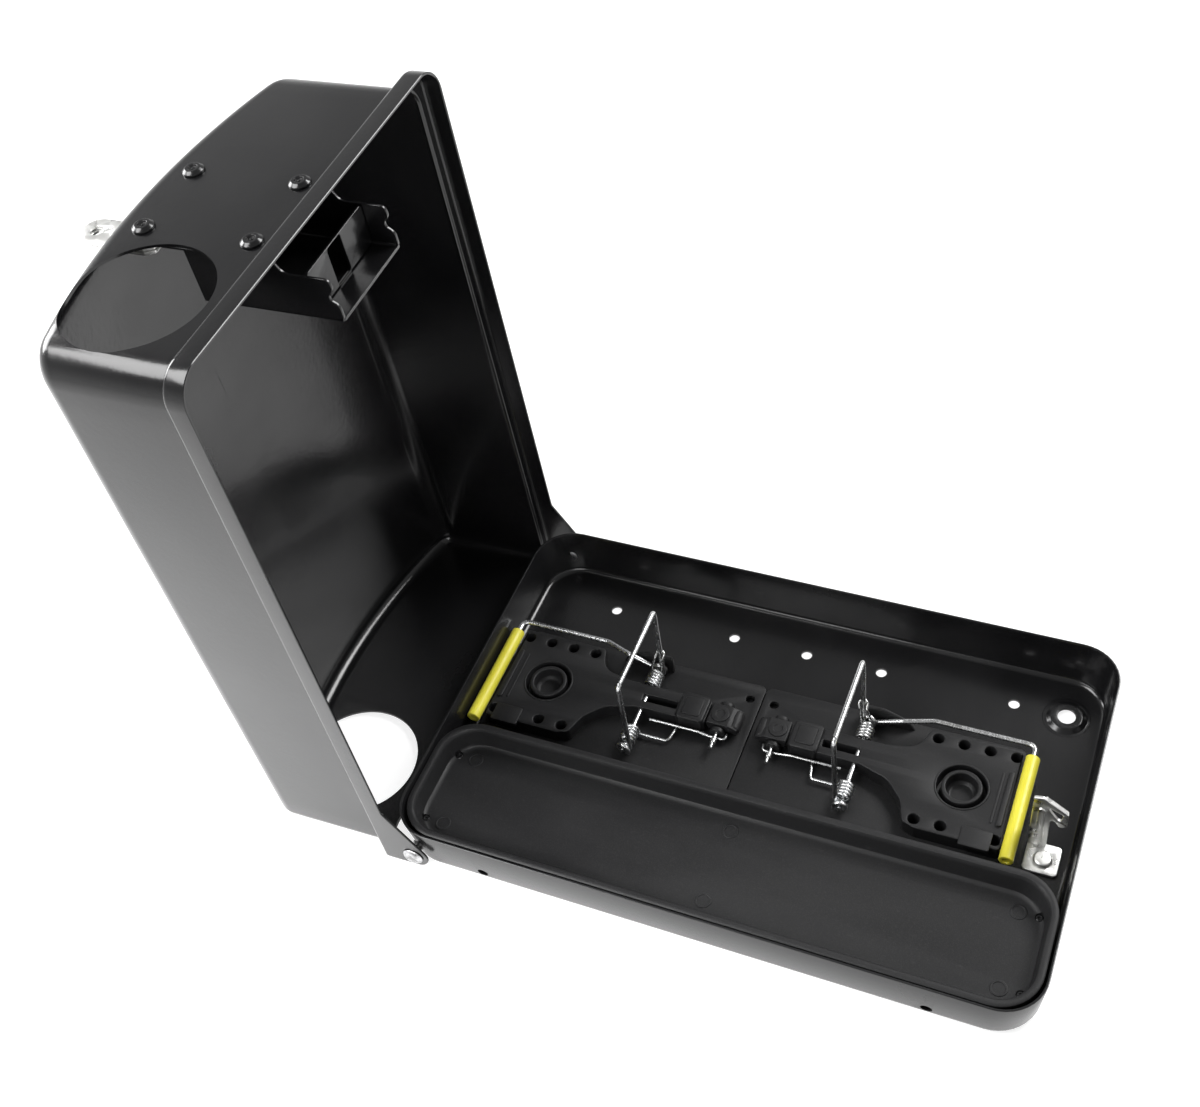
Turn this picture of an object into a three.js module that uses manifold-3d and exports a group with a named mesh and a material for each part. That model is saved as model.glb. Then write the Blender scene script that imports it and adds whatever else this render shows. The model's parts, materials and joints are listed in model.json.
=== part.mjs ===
// Steel rodent bait station with a hinged lid, a bait tray and two snap traps.
// Millimetres. +X runs from the hinge end to the lock end, +Y from the tray to the traps, +Z up.
// The origin is the middle of the pan's underside. The lid is modelled lying back, wide open.
import * as THREE from "three";
import { mergeVertices } from "three/addons/utils/BufferGeometryUtils.js";
import Module from "manifold-3d";

const wasm = await Module();
wasm.setup();

// ---- Driving dimensions ----

// Running and seating gaps
const GAP = 0.4;
const SHAFT_GAP = 0.3;

// Pressed steel base pan
const PAN_LENGTH = 300;
const PAN_WIDTH = 194;
const PAN_HEIGHT = 27;
const SHEET = 1.2;
const PAN_CORNER = 20;
const PAN_FLARE = 2.4;
const PAN_BEND = 4;
const FLOOR_HOLE_RADIUS = 2.7;
const FLOOR_HOLE_INSET = 25;
const FLOOR_HOLE_SPACING_INNER = 38.5;
const FLOOR_HOLE_SPACING_OUTER = 104;
const ANCHOR_HOLE_RADIUS = 4.2;
const ANCHOR_DIMPLE_RADIUS = 11;
const ANCHOR_DIMPLE_RISE = 1.6;
const ANCHOR_INSET = 21;
const DRAIN_RADIUS = 2.6;
const DRAIN_HEIGHT = 6.5;

// Hinge rivets, placed from the pan's hinge-end rim
const PIVOT_INSET = 12.6;
const PIVOT_HEIGHT = 11.3;
const RIVET_SHANK = 2.4;
const RIVET_HEAD = 5;
const RIVET_HEAD_RISE = 1.7;
const RIVET_TAIL = 3.4;
const RIVET_TAIL_RISE = 1;

// Lid
const LID_SKIRT_GAP = 1.3;
const LID_SHOULDER = 5;
const LID_SEAT_GAP = 1;
const LID_SKIRT_DROP = 7.5;
const LID_OVERHANG = 5;
const LID_EAVE_HEIGHT = 63.5;
const LID_CROWN = 15;
const LID_EAVE_BEND = 8;
const LID_END_BEND = 7;
const LID_CORNER = 14;
const LID_SKIRT_CORNER = 13;
const EAR_RADIUS = 7.5;
const EAR_LENGTH = 44;
const ENTRY_RADIUS = 30;
const ENTRY_ACROSS = 42;
const ENTRY_UP = 40;

// Lock housing inside the lid's free end
const LOCK_SLEEVE_GAP = 0.6;
const LOCK_WIDTH = 46;
const LOCK_DROP = 21.5;
const LOCK_TOP = 42;
const LOCK_PAD_TOP = 69;
const LOCK_PAD_WIDTH = 50;
const LOCK_NOTCH_RADIUS = 5;
const LOCK_PLATE_LEVEL = -9;
const WALL_RIVET_RADIUS = 2.2;
const WALL_RIVET_HEAD = 4.6;
const WALL_RIVET_RISE = 1.8;
const WALL_RIVET_SPACING = 36.5;
const WALL_RIVET_LOW = 12;
const WALL_RIVET_HIGH = 61.5;

// Key
const KEY_THICKNESS = 3.2;
const KEY_WIDTH = 15;
const KEY_STANDS_OUT = 18;
const KEY_REACH_IN = 20;
const KEY_HOLE = 2.6;
const KEY_ACROSS = 81;
const KEY_FROM_WALL = 7;

// Spring latch on the pan floor
const LATCH_SHEET = 1.5;
const LATCH_LEG = 8.2;
const LATCH_HOOK = 7.4;
const LATCH_HEIGHT = 41;
const LATCH_FOOT = 14;
const LATCH_ACROSS = 95;
const LATCH_GAP = 0.8;

// Bait tray
const TRAY_WIDTH = 66;
const TRAY_TOP = 25.6;
const TRAY_BASE = 1.8;
const TRAY_FLOOR = 14;
const TRAY_WALL = 2.2;
const TRAY_DRAFT = 4.4;
const TRAY_GAP = 0.8;
const TRAY_SCREW_PAST_CORNER = 9.5;
const TRAY_SCREW_SPREAD = 37;
const TRAY_SCREW_RADIUS = 1.6;
const TRAY_SCREW_HEAD = 3.2;
const TRAY_BOSS = 4;
const TRAY_PIP_RADIUS = 3.6;

// Traps: u runs outwards from the seam between the two traps, v across the pan
const SEAM_INSET = 138.4;
const TRAY_TO_TRAP = 7.5;
const TRAP_LENGTH = 127.6;
const DECK_WIDTH = 67;
const DECK_TOP = 4;
const BLOCK_TOP = 12;
const BLOCK_WIDTH = 55;
const BLOCK_START = 84;
const NECK_WIDTH = 14;
const NECK_OFFSET = 5.5;
const CUP_AT = 104.4;
const CUP_RADIUS = 11.8;
const CUP_LIP = 9.4;
const CUP_BORE = 7.4;
const AXLE_AT = 54;
const AXLE_HEIGHT = 9.6;
const AXLE_RADIUS = 1.2;
const AXLE_HALF = 27;
const WIRE_RADIUS = 1.25;
const BAIL_HEIGHT = 48.5;
const BAIL_LEAN = 3;
const BAIL_HALF = 23.4;
const ARM_SIDE = 31.2;
const GRIP_AT = 131.5;
const GRIP_RADIUS = 3.3;
const GRIP_NEAR = -32.5;
const GRIP_FAR = 24;
const SPRING_RADIUS = 3.5;
const SPRING_WIRE = 0.75;
const SPRING_TURNS = 4;
const SPRING_PITCH = 2 * SPRING_WIRE + 0.12;
const PEDAL_AT = 14;
const PEDAL_LENGTH = 13;
const PEDAL_WIDTH = 12;
const PEDAL_EAR = 2.4;
const PEDAL_PIN_RADIUS = 0.9;
const PEDAL_PIN_REACH = 12;
const ROD_RADIUS = 0.7;
const PEG_HOLE = 2.7;

// ---- Places worked out from the driving dimensions ----

const RIM = PAN_HEIGHT;
const FLOOR = SHEET;
const HALF_LENGTH = PAN_LENGTH / 2;
const HALF_WIDTH = PAN_WIDTH / 2;
const PIVOT_X = PIVOT_INSET - HALF_LENGTH;
const SKIRT_OUT = LID_SKIRT_GAP + SHEET;
const BODY_IN = LID_SHOULDER - SKIRT_OUT;
const SKIRT_HALF_WIDTH = HALF_WIDTH + SKIRT_OUT;
const BODY_HALF_WIDTH = HALF_WIDTH - BODY_IN;
const BODY_END = HALF_LENGTH - BODY_IN + LID_OVERHANG;
const BODY_START = PIVOT_X - EAR_RADIUS - GAP;
const RIM_REACH = Math.hypot(PIVOT_INSET, RIM - PIVOT_HEIGHT);

const TRAY_X = HALF_LENGTH - SHEET - TRAY_GAP;
const TRAY_NEAR = SHEET + TRAY_GAP - HALF_WIDTH;
const TRAY_FAR = TRAY_NEAR + TRAY_WIDTH;
const TRAY_CORNER = PAN_CORNER;
const TRAP_Y = TRAY_FAR + TRAY_TO_TRAP + DECK_WIDTH / 2;
const SEAM_X = SEAM_INSET - HALF_LENGTH;

// How far the pan's wall leans in at a height above the ground
const leanAt = (height) => PAN_FLARE * (1 - height / PAN_HEIGHT);

// The lid lies back until the top of its hinge wall is just off the ground
const LID_OPEN = Math.PI / 2 + Math.asin(
  (PIVOT_HEIGHT - (PIVOT_X - BODY_START) - GAP / 2) / (LID_EAVE_HEIGHT + LID_CROWN + RIM - PIVOT_HEIGHT)
);

// ---- Solids ----

function toSolid(geometry) {
  const bare = geometry.clone();
  bare.deleteAttribute("normal");
  bare.deleteAttribute("uv");
  const merged = mergeVertices(bare, 1e-4);
  return new wasm.Manifold(
    new wasm.Mesh({
      numProp: 3,
      vertProperties: merged.attributes.position.array,
      triVerts: new Uint32Array(merged.index.array),
    })
  );
}

function toGeometry(solid) {
  const mesh = solid.getMesh();
  const geometry = new THREE.BufferGeometry();
  geometry.setAttribute("position", new THREE.BufferAttribute(mesh.vertProperties, 3));
  geometry.setIndex(new THREE.BufferAttribute(mesh.triVerts, 1));
  geometry.computeVertexNormals();
  return geometry;
}

const join = (solids) => solids.reduce((sum, solid) => sum.add(solid));
const cut = (solid, tools) => tools.reduce((rest, tool) => rest.subtract(tool), solid);

function box(x0, x1, y0, y1, z0, z1) {
  const geometry = new THREE.BoxGeometry(x1 - x0, y1 - y0, z1 - z0);
  return toSolid(geometry.translate((x0 + x1) / 2, (y0 + y1) / 2, (z0 + z1) / 2));
}

function extruded(shape, depth, options = {}) {
  return new THREE.ExtrudeGeometry(shape, { depth, bevelEnabled: false, curveSegments: 8, ...options });
}

// A plan outline raised between two heights
function upright(shape, low, high) {
  return toSolid(extruded(shape, high - low).translate(0, 0, low));
}

// An outline drawn in X and Z, run along Y
function acrossY(shape, low, high) {
  return toSolid(extruded(shape, high - low).rotateX(Math.PI / 2).translate(0, high, 0));
}

// An outline drawn in Y and Z, as a geometry run along X
function alongX(geometry, start) {
  const turn = new THREE.Matrix4().makeBasis(
    new THREE.Vector3(0, 1, 0),
    new THREE.Vector3(0, 0, 1),
    new THREE.Vector3(1, 0, 0)
  );
  return geometry.applyMatrix4(turn).translate(start, 0, 0);
}

function cylinder(radius, length, axis, centre, sides = 24) {
  const geometry = new THREE.CylinderGeometry(radius, radius, length, sides);
  const up = new THREE.Vector3(0, 1, 0);
  const turn = new THREE.Quaternion().setFromUnitVectors(up, new THREE.Vector3(...axis));
  return toSolid(geometry.applyQuaternion(turn).translate(...centre));
}

// A profile of radius and height turned about an upright axis
function turned(profile, x, y, sides = 32) {
  const points = profile.map(([radius, height]) => new THREE.Vector2(radius, height));
  const geometry = new THREE.LatheGeometry(points, sides).rotateX(Math.PI / 2);
  return toSolid(geometry.translate(x, y, 0));
}

function roundedRectangle(x0, x1, y0, y1, radius) {
  const shape = new THREE.Shape();
  shape.absarc(x1 - radius, y0 + radius, radius, -Math.PI / 2, 0);
  shape.absarc(x1 - radius, y1 - radius, radius, 0, Math.PI / 2);
  shape.absarc(x0 + radius, y1 - radius, radius, Math.PI / 2, Math.PI);
  shape.absarc(x0 + radius, y0 + radius, radius, Math.PI, 1.5 * Math.PI);
  shape.closePath();
  return shape;
}

function outline(points) {
  return new THREE.Shape(points.map(([x, y]) => new THREE.Vector2(x, y)));
}

// A round wire through a list of corners, each rounded by the bend length
function wire(corners, radius, bend, spacing = 2.5, sides = 10) {
  const points = corners.map((corner) => new THREE.Vector3(...corner));
  const path = new THREE.CurvePath();
  let from = points[0];
  points.slice(1, -1).forEach((corner, index) => {
    const before = corner.clone().lerp(points[index], bend / corner.distanceTo(points[index]));
    const after = corner.clone().lerp(points[index + 2], bend / corner.distanceTo(points[index + 2]));
    path.add(new THREE.LineCurve3(from, before));
    path.add(new THREE.QuadraticBezierCurve3(before, corner, after));
    from = after;
  });
  path.add(new THREE.LineCurve3(from, points[points.length - 1]));
  return swept(path, radius, Math.ceil(path.getLength() / spacing), sides);
}

function swept(path, radius, steps, sides) {
  const section = new THREE.Shape();
  for (let i = 0; i < sides; i++) {
    const angle = (2 * Math.PI * i) / sides;
    const point = [radius * Math.cos(angle), radius * Math.sin(angle)];
    if (i === 0) section.moveTo(...point);
    else section.lineTo(...point);
  }
  section.closePath();
  return toSolid(extruded(section, 1, { extrudePath: path, steps }));
}

// ---- The model ----

const station = new THREE.Group();
station.name = "bait_station";

const material = (color, roughness, metalness) =>
  new THREE.MeshStandardMaterial({ color, roughness, metalness });
const blackSteel = material(0x0c0c0d, 0.28, 0.2);
const blackPlastic = material(0x17181a, 0.6, 0);
const brightSteel = material(0xb9bcc0, 0.3, 1);
const zincSteel = material(0xd6d8d4, 0.4, 0.9);
const yellowPlastic = material(0xe0d23c, 0.45, 0);

function addPiece(group, name, solid, look) {
  const mesh = new THREE.Mesh(toGeometry(solid), look);
  mesh.name = name;
  group.add(mesh);
  return mesh;
}

// ---- Base pan ----

// A tub outline with a bent bottom edge and walls that lean out towards the rim
function tub(inset, base, top) {
  const bend = PAN_BEND - inset;
  const shape = roundedRectangle(
    inset - HALF_LENGTH, HALF_LENGTH - inset, inset - HALF_WIDTH, HALF_WIDTH - inset, PAN_CORNER - inset
  );
  const geometry = extruded(shape, top - base, {
    bevelEnabled: true,
    bevelThickness: bend,
    bevelSize: bend,
    bevelOffset: -bend,
    bevelSegments: 4,
  }).translate(0, 0, base + bend);
  const position = geometry.attributes.position;
  for (let i = 0; i < position.count; i++) {
    const lean = leanAt(position.getZ(i));
    position.setX(i, position.getX(i) * (1 - lean / HALF_LENGTH));
    position.setY(i, position.getY(i) * (1 - lean / HALF_WIDTH));
  }
  return toSolid(geometry);
}

function pivotPlaces() {
  return [-1, 1].map((side) => ({ side, name: side < 0 ? "near" : "far" }));
}

function basePan() {
  const outside = cut(tub(0, 0, PAN_HEIGHT), [
    box(-PAN_LENGTH, PAN_LENGTH, -PAN_WIDTH, PAN_WIDTH, PAN_HEIGHT, 2 * PAN_HEIGHT),
  ]);
  const anchorX = HALF_LENGTH - ANCHOR_INSET;
  const anchorY = HALF_WIDTH - FLOOR_HOLE_INSET - 1;
  const dimple = turned(
    [
      [0, 0],
      [ANCHOR_DIMPLE_RADIUS, 0],
      [ANCHOR_DIMPLE_RADIUS, FLOOR],
      [ANCHOR_DIMPLE_RADIUS - 3, FLOOR + ANCHOR_DIMPLE_RISE],
      [0, FLOOR + ANCHOR_DIMPLE_RISE],
    ],
    anchorX, anchorY
  );
  const dish = turned(
    [
      [0, -1],
      [ANCHOR_DIMPLE_RADIUS - 3, -1],
      [ANCHOR_DIMPLE_RADIUS - 3, 0],
      [ANCHOR_DIMPLE_RADIUS - 5, ANCHOR_DIMPLE_RISE],
      [0, ANCHOR_DIMPLE_RISE],
    ],
    anchorX, anchorY
  );
  const up = [0, 0, 1];
  const rowY = HALF_WIDTH - FLOOR_HOLE_INSET;
  const inner = FLOOR_HOLE_SPACING_INNER;
  const outer = FLOOR_HOLE_SPACING_OUTER;
  const floorHoles = [-outer, -inner, 0, inner, outer].map((x) =>
    cylinder(FLOOR_HOLE_RADIUS, 10, up, [x, rowY, 0], 16)
  );
  const drains = [-outer, outer].map((x) =>
    cylinder(DRAIN_RADIUS, 12, [0, 1, 0], [x, 1 - HALF_WIDTH, DRAIN_HEIGHT], 16)
  );
  const pivotHoles = pivotPlaces().map(({ side }) => {
    const centre = [PIVOT_X, side * HALF_WIDTH, PIVOT_HEIGHT];
    return cylinder(RIVET_SHANK + SHAFT_GAP, PAN_CORNER, [0, 1, 0], centre, 20);
  });
  const shell = cut(outside, [tub(SHEET, FLOOR, 2 * PAN_HEIGHT)]).add(dimple);
  const anchor = cylinder(ANCHOR_HOLE_RADIUS, 12, up, [anchorX, anchorY, 0], 20);
  return cut(shell, [dish, anchor, ...floorHoles, ...drains, ...pivotHoles]);
}

addPiece(station, "base_pan", basePan(), blackSteel);

// ---- Hinge rivets ----

// How far out the rivet's tail can reach before it meets the pan's rounded corner
function rivetTailFoot() {
  const corner = PAN_CORNER - SHEET;
  const lean = leanAt(PIVOT_HEIGHT - RIVET_TAIL);
  const intoCorner = Math.max(0, PAN_CORNER - PIVOT_INSET + RIVET_TAIL + lean);
  const drop = corner - Math.sqrt(corner ** 2 - intoCorner ** 2);
  return HALF_WIDTH - lean - drop - SHEET - GAP;
}

function hingeRivet(side) {
  const headFoot = SKIRT_HALF_WIDTH + GAP;
  const tailFoot = rivetTailFoot();
  const profile = [
    [0, tailFoot - RIVET_TAIL_RISE],
    [RIVET_TAIL - 0.8, tailFoot - RIVET_TAIL_RISE],
    [RIVET_TAIL, tailFoot - 0.3],
    [RIVET_TAIL, tailFoot],
    [RIVET_SHANK, tailFoot],
    [RIVET_SHANK, headFoot],
    [RIVET_HEAD, headFoot],
    [RIVET_HEAD, headFoot + 0.4],
    [RIVET_HEAD * 0.75, headFoot + RIVET_HEAD_RISE * 0.8],
    [0, headFoot + RIVET_HEAD_RISE],
  ];
  const points = profile.map(([radius, along]) => new THREE.Vector2(radius, along));
  const geometry = new THREE.LatheGeometry(points, 24);
  if (side < 0) geometry.rotateX(Math.PI);
  return toSolid(geometry.translate(PIVOT_X, 0, PIVOT_HEIGHT));
}

for (const { side, name } of pivotPlaces()) {
  addPiece(station, `hinge_rivet_${name}`, hingeRivet(side), blackSteel);
}

// ---- Lid, drawn closed about the pan, then swung open on its pivot ----

const lid = new THREE.Group();
lid.position.set(PIVOT_X, 0, PIVOT_HEIGHT);
lid.rotation.y = -LID_OPEN;
const closed = new THREE.Group();
closed.position.set(-PIVOT_X, 0, -PIVOT_HEIGHT);
lid.add(closed);
station.add(lid);

const EAVE = RIM + LID_EAVE_HEIGHT;

// Height of the crowned roof's outside at a place across the lid
function roofAt(y) {
  const half = BODY_HALF_WIDTH;
  const radius = (half * half + LID_CROWN * LID_CROWN) / (2 * LID_CROWN);
  return EAVE - (radius - LID_CROWN) + Math.sqrt(radius * radius - y * y);
}

// Cross-section of the lid body: upright sides, bent eaves and a crowned roof
function bodySection(inset) {
  const side = BODY_HALF_WIDTH - inset;
  const bend = LID_EAVE_BEND - inset;
  const shoulder = roofAt(side - bend) - inset;
  const shape = new THREE.Shape();
  shape.moveTo(-side, 0);
  shape.lineTo(side, 0);
  shape.lineTo(side, shoulder - bend);
  shape.quadraticCurveTo(side, shoulder - bend / 4, side - bend, shoulder);
  const steps = 14;
  for (let i = 1; i < steps; i++) {
    const y = (side - bend) * (1 - (2 * i) / steps);
    shape.lineTo(y, roofAt(y) - inset);
  }
  shape.lineTo(bend - side, shoulder);
  shape.quadraticCurveTo(-side, shoulder - bend / 4, -side, shoulder - bend);
  shape.closePath();
  return shape;
}

// The lid body is its cross-section, bounded by its plan and by its rounded side view
function lidBody(inset) {
  const start = BODY_START + inset;
  const end = BODY_END - inset;
  const side = BODY_HALF_WIDTH - inset;
  const top = EAVE + LID_CROWN - inset;
  const bend = LID_END_BEND - inset;
  const corner = LID_CORNER - inset;
  const section = toSolid(alongX(extruded(bodySection(inset), end - start, { curveSegments: 5 }), start));
  const sideView = new THREE.Shape();
  sideView.moveTo(start, 0);
  sideView.lineTo(end, 0);
  sideView.absarc(end - bend, top - bend, bend, 0, Math.PI / 2);
  sideView.absarc(start + bend, top - bend, bend, Math.PI / 2, Math.PI);
  sideView.closePath();
  const plan = new THREE.Shape();
  plan.absarc(end - corner, corner - side, corner, -Math.PI / 2, 0);
  plan.absarc(end - corner, side - corner, corner, 0, Math.PI / 2);
  plan.absarc(start + bend, side - bend, bend, Math.PI / 2, Math.PI);
  plan.absarc(start + bend, bend - side, bend, Math.PI, 1.5 * Math.PI);
  plan.closePath();
  const profile = acrossY(sideView, -PAN_WIDTH, PAN_WIDTH);
  return section.intersect(profile).intersect(upright(plan, 0, 2 * EAVE));
}

// Plan of the skirt: square at the hinge end, where it runs on into the ears
function skirtPlan(inset, start) {
  const side = SKIRT_HALF_WIDTH - inset;
  const end = HALF_LENGTH + SKIRT_OUT + LID_OVERHANG - inset;
  const corner = LID_SKIRT_CORNER - inset;
  const shape = new THREE.Shape();
  shape.moveTo(start, side);
  shape.lineTo(start, -side);
  shape.absarc(end - corner, corner - side, corner, -Math.PI / 2, 0);
  shape.absarc(end - corner, side - corner, corner, 0, Math.PI / 2);
  shape.closePath();
  return shape;
}

function ear(side) {
  const start = PIVOT_X - EAR_RADIUS;
  const end = start + EAR_LENGTH - (PIVOT_INSET - EAR_RADIUS);
  const top = RIM + LID_SEAT_GAP + SHEET;
  const low = RIM - LID_SKIRT_DROP;
  const span = Math.hypot(end - PIVOT_X, low - PIVOT_HEIGHT);
  const tangent = Math.atan2(low - PIVOT_HEIGHT, end - PIVOT_X) - Math.acos(EAR_RADIUS / span);
  const shape = new THREE.Shape();
  shape.moveTo(start, top);
  shape.absarc(PIVOT_X, PIVOT_HEIGHT, EAR_RADIUS, Math.PI, tangent + 2 * Math.PI);
  shape.lineTo(end, low);
  shape.lineTo(end, top);
  shape.closePath();
  const inner = HALF_WIDTH + LID_SKIRT_GAP;
  const [y0, y1] = side < 0 ? [-inner - SHEET, -inner] : [inner, inner + SHEET];
  const hole = cylinder(RIVET_SHANK + SHAFT_GAP, 20, [0, 1, 0], [PIVOT_X, side * inner, PIVOT_HEIGHT], 20);
  return cut(acrossY(shape, y0, y1), [hole]);
}

const wallRivetPlaces = [
  [-WALL_RIVET_SPACING / 2, WALL_RIVET_LOW],
  [WALL_RIVET_SPACING / 2, WALL_RIVET_LOW],
  [-WALL_RIVET_SPACING / 2, WALL_RIVET_HIGH],
  [WALL_RIVET_SPACING / 2, WALL_RIVET_HIGH],
];
const KEY_X = BODY_END - SHEET - KEY_FROM_WALL;
const KEY_Y = KEY_ACROSS - HALF_WIDTH;

function lidShell() {
  const seat = RIM + LID_SEAT_GAP;
  const start = PIVOT_X - EAR_RADIUS;
  const outside = cut(lidBody(0), [
    box(-PAN_LENGTH, PAN_LENGTH, -PAN_WIDTH, PAN_WIDTH, 0, seat),
  ]);
  const skirt = cut(upright(skirtPlan(0, start), RIM - LID_SKIRT_DROP, seat + SHEET), [
    upright(skirtPlan(SHEET, start - PAN_CORNER), 0, seat),
  ]);
  const swing = cylinder(
    RIM_REACH + 2 * GAP, PAN_WIDTH - 3 * LID_SHOULDER, [0, 1, 0], [PIVOT_X, 0, PIVOT_HEIGHT], 72
  );
  const entries = cylinder(
    ENTRY_RADIUS, 2 * PAN_LENGTH, [1, 0, 0], [0, ENTRY_ACROSS - HALF_WIDTH, RIM + ENTRY_UP], 40
  );
  const rivetHoles = wallRivetPlaces.map(([y, z]) =>
    cylinder(WALL_RIVET_RADIUS + SHAFT_GAP, 20, [1, 0, 0], [BODY_END, y, RIM + z], 16)
  );
  const keySlot = box(
    KEY_X - KEY_THICKNESS / 2 - GAP, KEY_X + KEY_THICKNESS / 2 + GAP,
    KEY_Y - KEY_WIDTH / 2 - GAP, KEY_Y + KEY_WIDTH / 2 + GAP, EAVE - 5, EAVE + 2 * LID_CROWN
  );
  const shell = join([outside, skirt, ear(-1), ear(1)]);
  return cut(shell, [lidBody(SHEET), swing, entries, keySlot, ...rivetHoles]);
}

addPiece(closed, "lid_shell", lidShell(), blackSteel);

// ---- Lock housing: a box open at the bottom, riveted inside the free-end wall ----

const GRIP_OUTER_X = SEAM_X + GRIP_AT + GRIP_RADIUS;
const LOCK_START = GRIP_OUTER_X + LOCK_SLEEVE_GAP;
const LOCK_END = BODY_END - SHEET - GAP;

function lockCheek() {
  const low = RIM - LOCK_DROP;
  const wallSide = HALF_LENGTH - 2 * SHEET - PAN_FLARE - 1;
  const notch = (LOCK_START + wallSide) / 2 + 1.5;
  const shape = new THREE.Shape();
  shape.moveTo(LOCK_START, RIM + LOCK_TOP);
  shape.lineTo(LOCK_START, low + 2);
  shape.quadraticCurveTo(LOCK_START, low, LOCK_START + 2, low);
  shape.lineTo(notch - LOCK_NOTCH_RADIUS, low);
  shape.quadraticCurveTo(notch - 1, low, notch - 1, low + 4);
  shape.lineTo(notch + 1.5, low + 2);
  shape.lineTo(wallSide - 4, low + 1);
  shape.quadraticCurveTo(wallSide, low + 1, wallSide, low + 5);
  shape.lineTo(wallSide, RIM);
  shape.lineTo(LOCK_END, RIM + 4);
  shape.lineTo(LOCK_END, RIM + LOCK_TOP);
  shape.closePath();
  return shape;
}

function lockHousing() {
  const half = LOCK_WIDTH / 2;
  const cheeks = [-half, half - SHEET].map((y) => acrossY(lockCheek(), y, y + SHEET));
  const web = box(LOCK_START, LOCK_START + SHEET, -half, half, RIM - LOCK_DROP, RIM + LOCK_TOP);
  const pad = box(
    LOCK_END - SHEET, LOCK_END, -LOCK_PAD_WIDTH / 2, LOCK_PAD_WIDTH / 2, RIM + 4, RIM + LOCK_PAD_TOP - 8
  );
  const padTop = box(LOCK_END - SHEET, LOCK_END, -half - 2, half + 2, RIM + 4, RIM + LOCK_PAD_TOP);
  const holes = wallRivetPlaces.map(([y, z]) =>
    cylinder(WALL_RIVET_RADIUS + SHAFT_GAP, 8, [1, 0, 0], [LOCK_END, y, RIM + z], 16)
  );
  return cut(join([...cheeks, web, pad, padTop]), holes);
}

// The slotted plate that the latch hook passes through
function lockPlate() {
  const half = LOCK_WIDTH / 2 - SHEET - GAP;
  const level = RIM + LOCK_PLATE_LEVEL;
  const end = HALF_LENGTH - 2 * SHEET - PAN_FLARE - 1;
  const plate = box(LOCK_START + SHEET + GAP, end, -half, half, level - SHEET, level);
  const latchY = LATCH_ACROSS - HALF_WIDTH;
  const slot = box(
    LATCH_START - LATCH_GAP / 2, LATCH_START + LATCH_LEG + LATCH_HOOK + LATCH_GAP,
    latchY - 4, latchY + 6, level - 5, level + 5
  );
  return cut(plate, [slot]);
}

const LATCH_START = LOCK_START + SHEET + LATCH_GAP + GAP;

addPiece(closed, "lock_housing", lockHousing(), blackSteel);
addPiece(closed, "lock_plate", lockPlate(), blackSteel);

function wallRivet(y, z) {
  const outer = BODY_END + GAP;
  const inner = LOCK_END - SHEET - GAP;
  const profile = [
    [0, inner - 1.2],
    [WALL_RIVET_RADIUS + 0.9, inner - 1.2],
    [WALL_RIVET_RADIUS + 0.9, inner],
    [WALL_RIVET_RADIUS, inner],
    [WALL_RIVET_RADIUS, outer],
    [WALL_RIVET_HEAD, outer],
    [WALL_RIVET_HEAD * 0.7, outer + WALL_RIVET_RISE],
    [WALL_RIVET_RADIUS * 0.7, outer + WALL_RIVET_RISE],
    [WALL_RIVET_RADIUS * 0.6, outer + WALL_RIVET_RISE - 0.8],
    [0, outer + WALL_RIVET_RISE - 0.8],
  ];
  const points = profile.map(([radius, along]) => new THREE.Vector2(radius, along));
  const geometry = new THREE.LatheGeometry(points, 20).rotateZ(-Math.PI / 2);
  return toSolid(geometry.translate(0, y, RIM + z));
}

wallRivetPlaces.forEach(([y, z], index) => {
  addPiece(closed, `wall_rivet_${index + 1}`, wallRivet(y, z), blackSteel);
});

// ---- Key: a folded strip that stands out through the roof ----

function lockKey() {
  const top = roofAt(KEY_Y) + KEY_STANDS_OUT;
  const foot = roofAt(KEY_Y) - KEY_REACH_IN;
  const half = KEY_WIDTH / 2;
  const shape = new THREE.Shape();
  shape.moveTo(-half, foot + half / 2);
  shape.lineTo(-half / 2, foot);
  shape.lineTo(half, foot);
  shape.absarc(0, top - half, half, 0, Math.PI);
  shape.closePath();
  const blade = toSolid(alongX(extruded(shape, KEY_THICKNESS), KEY_X - KEY_THICKNESS / 2));
  const eye = cylinder(KEY_HOLE, 20, [1, 0, 0], [KEY_X, 0, top - half], 20);
  const fold = box(
    KEY_X - 0.25, KEY_X + 0.25, -KEY_WIDTH, KEY_WIDTH, top - KEY_WIDTH, top - half + KEY_HOLE + 1.5
  );
  return cut(blade, [eye, fold]).translate([0, KEY_Y, 0]);
}

addPiece(closed, "lock_key", lockKey(), zincSteel);

// ---- Spring latch ----

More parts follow.
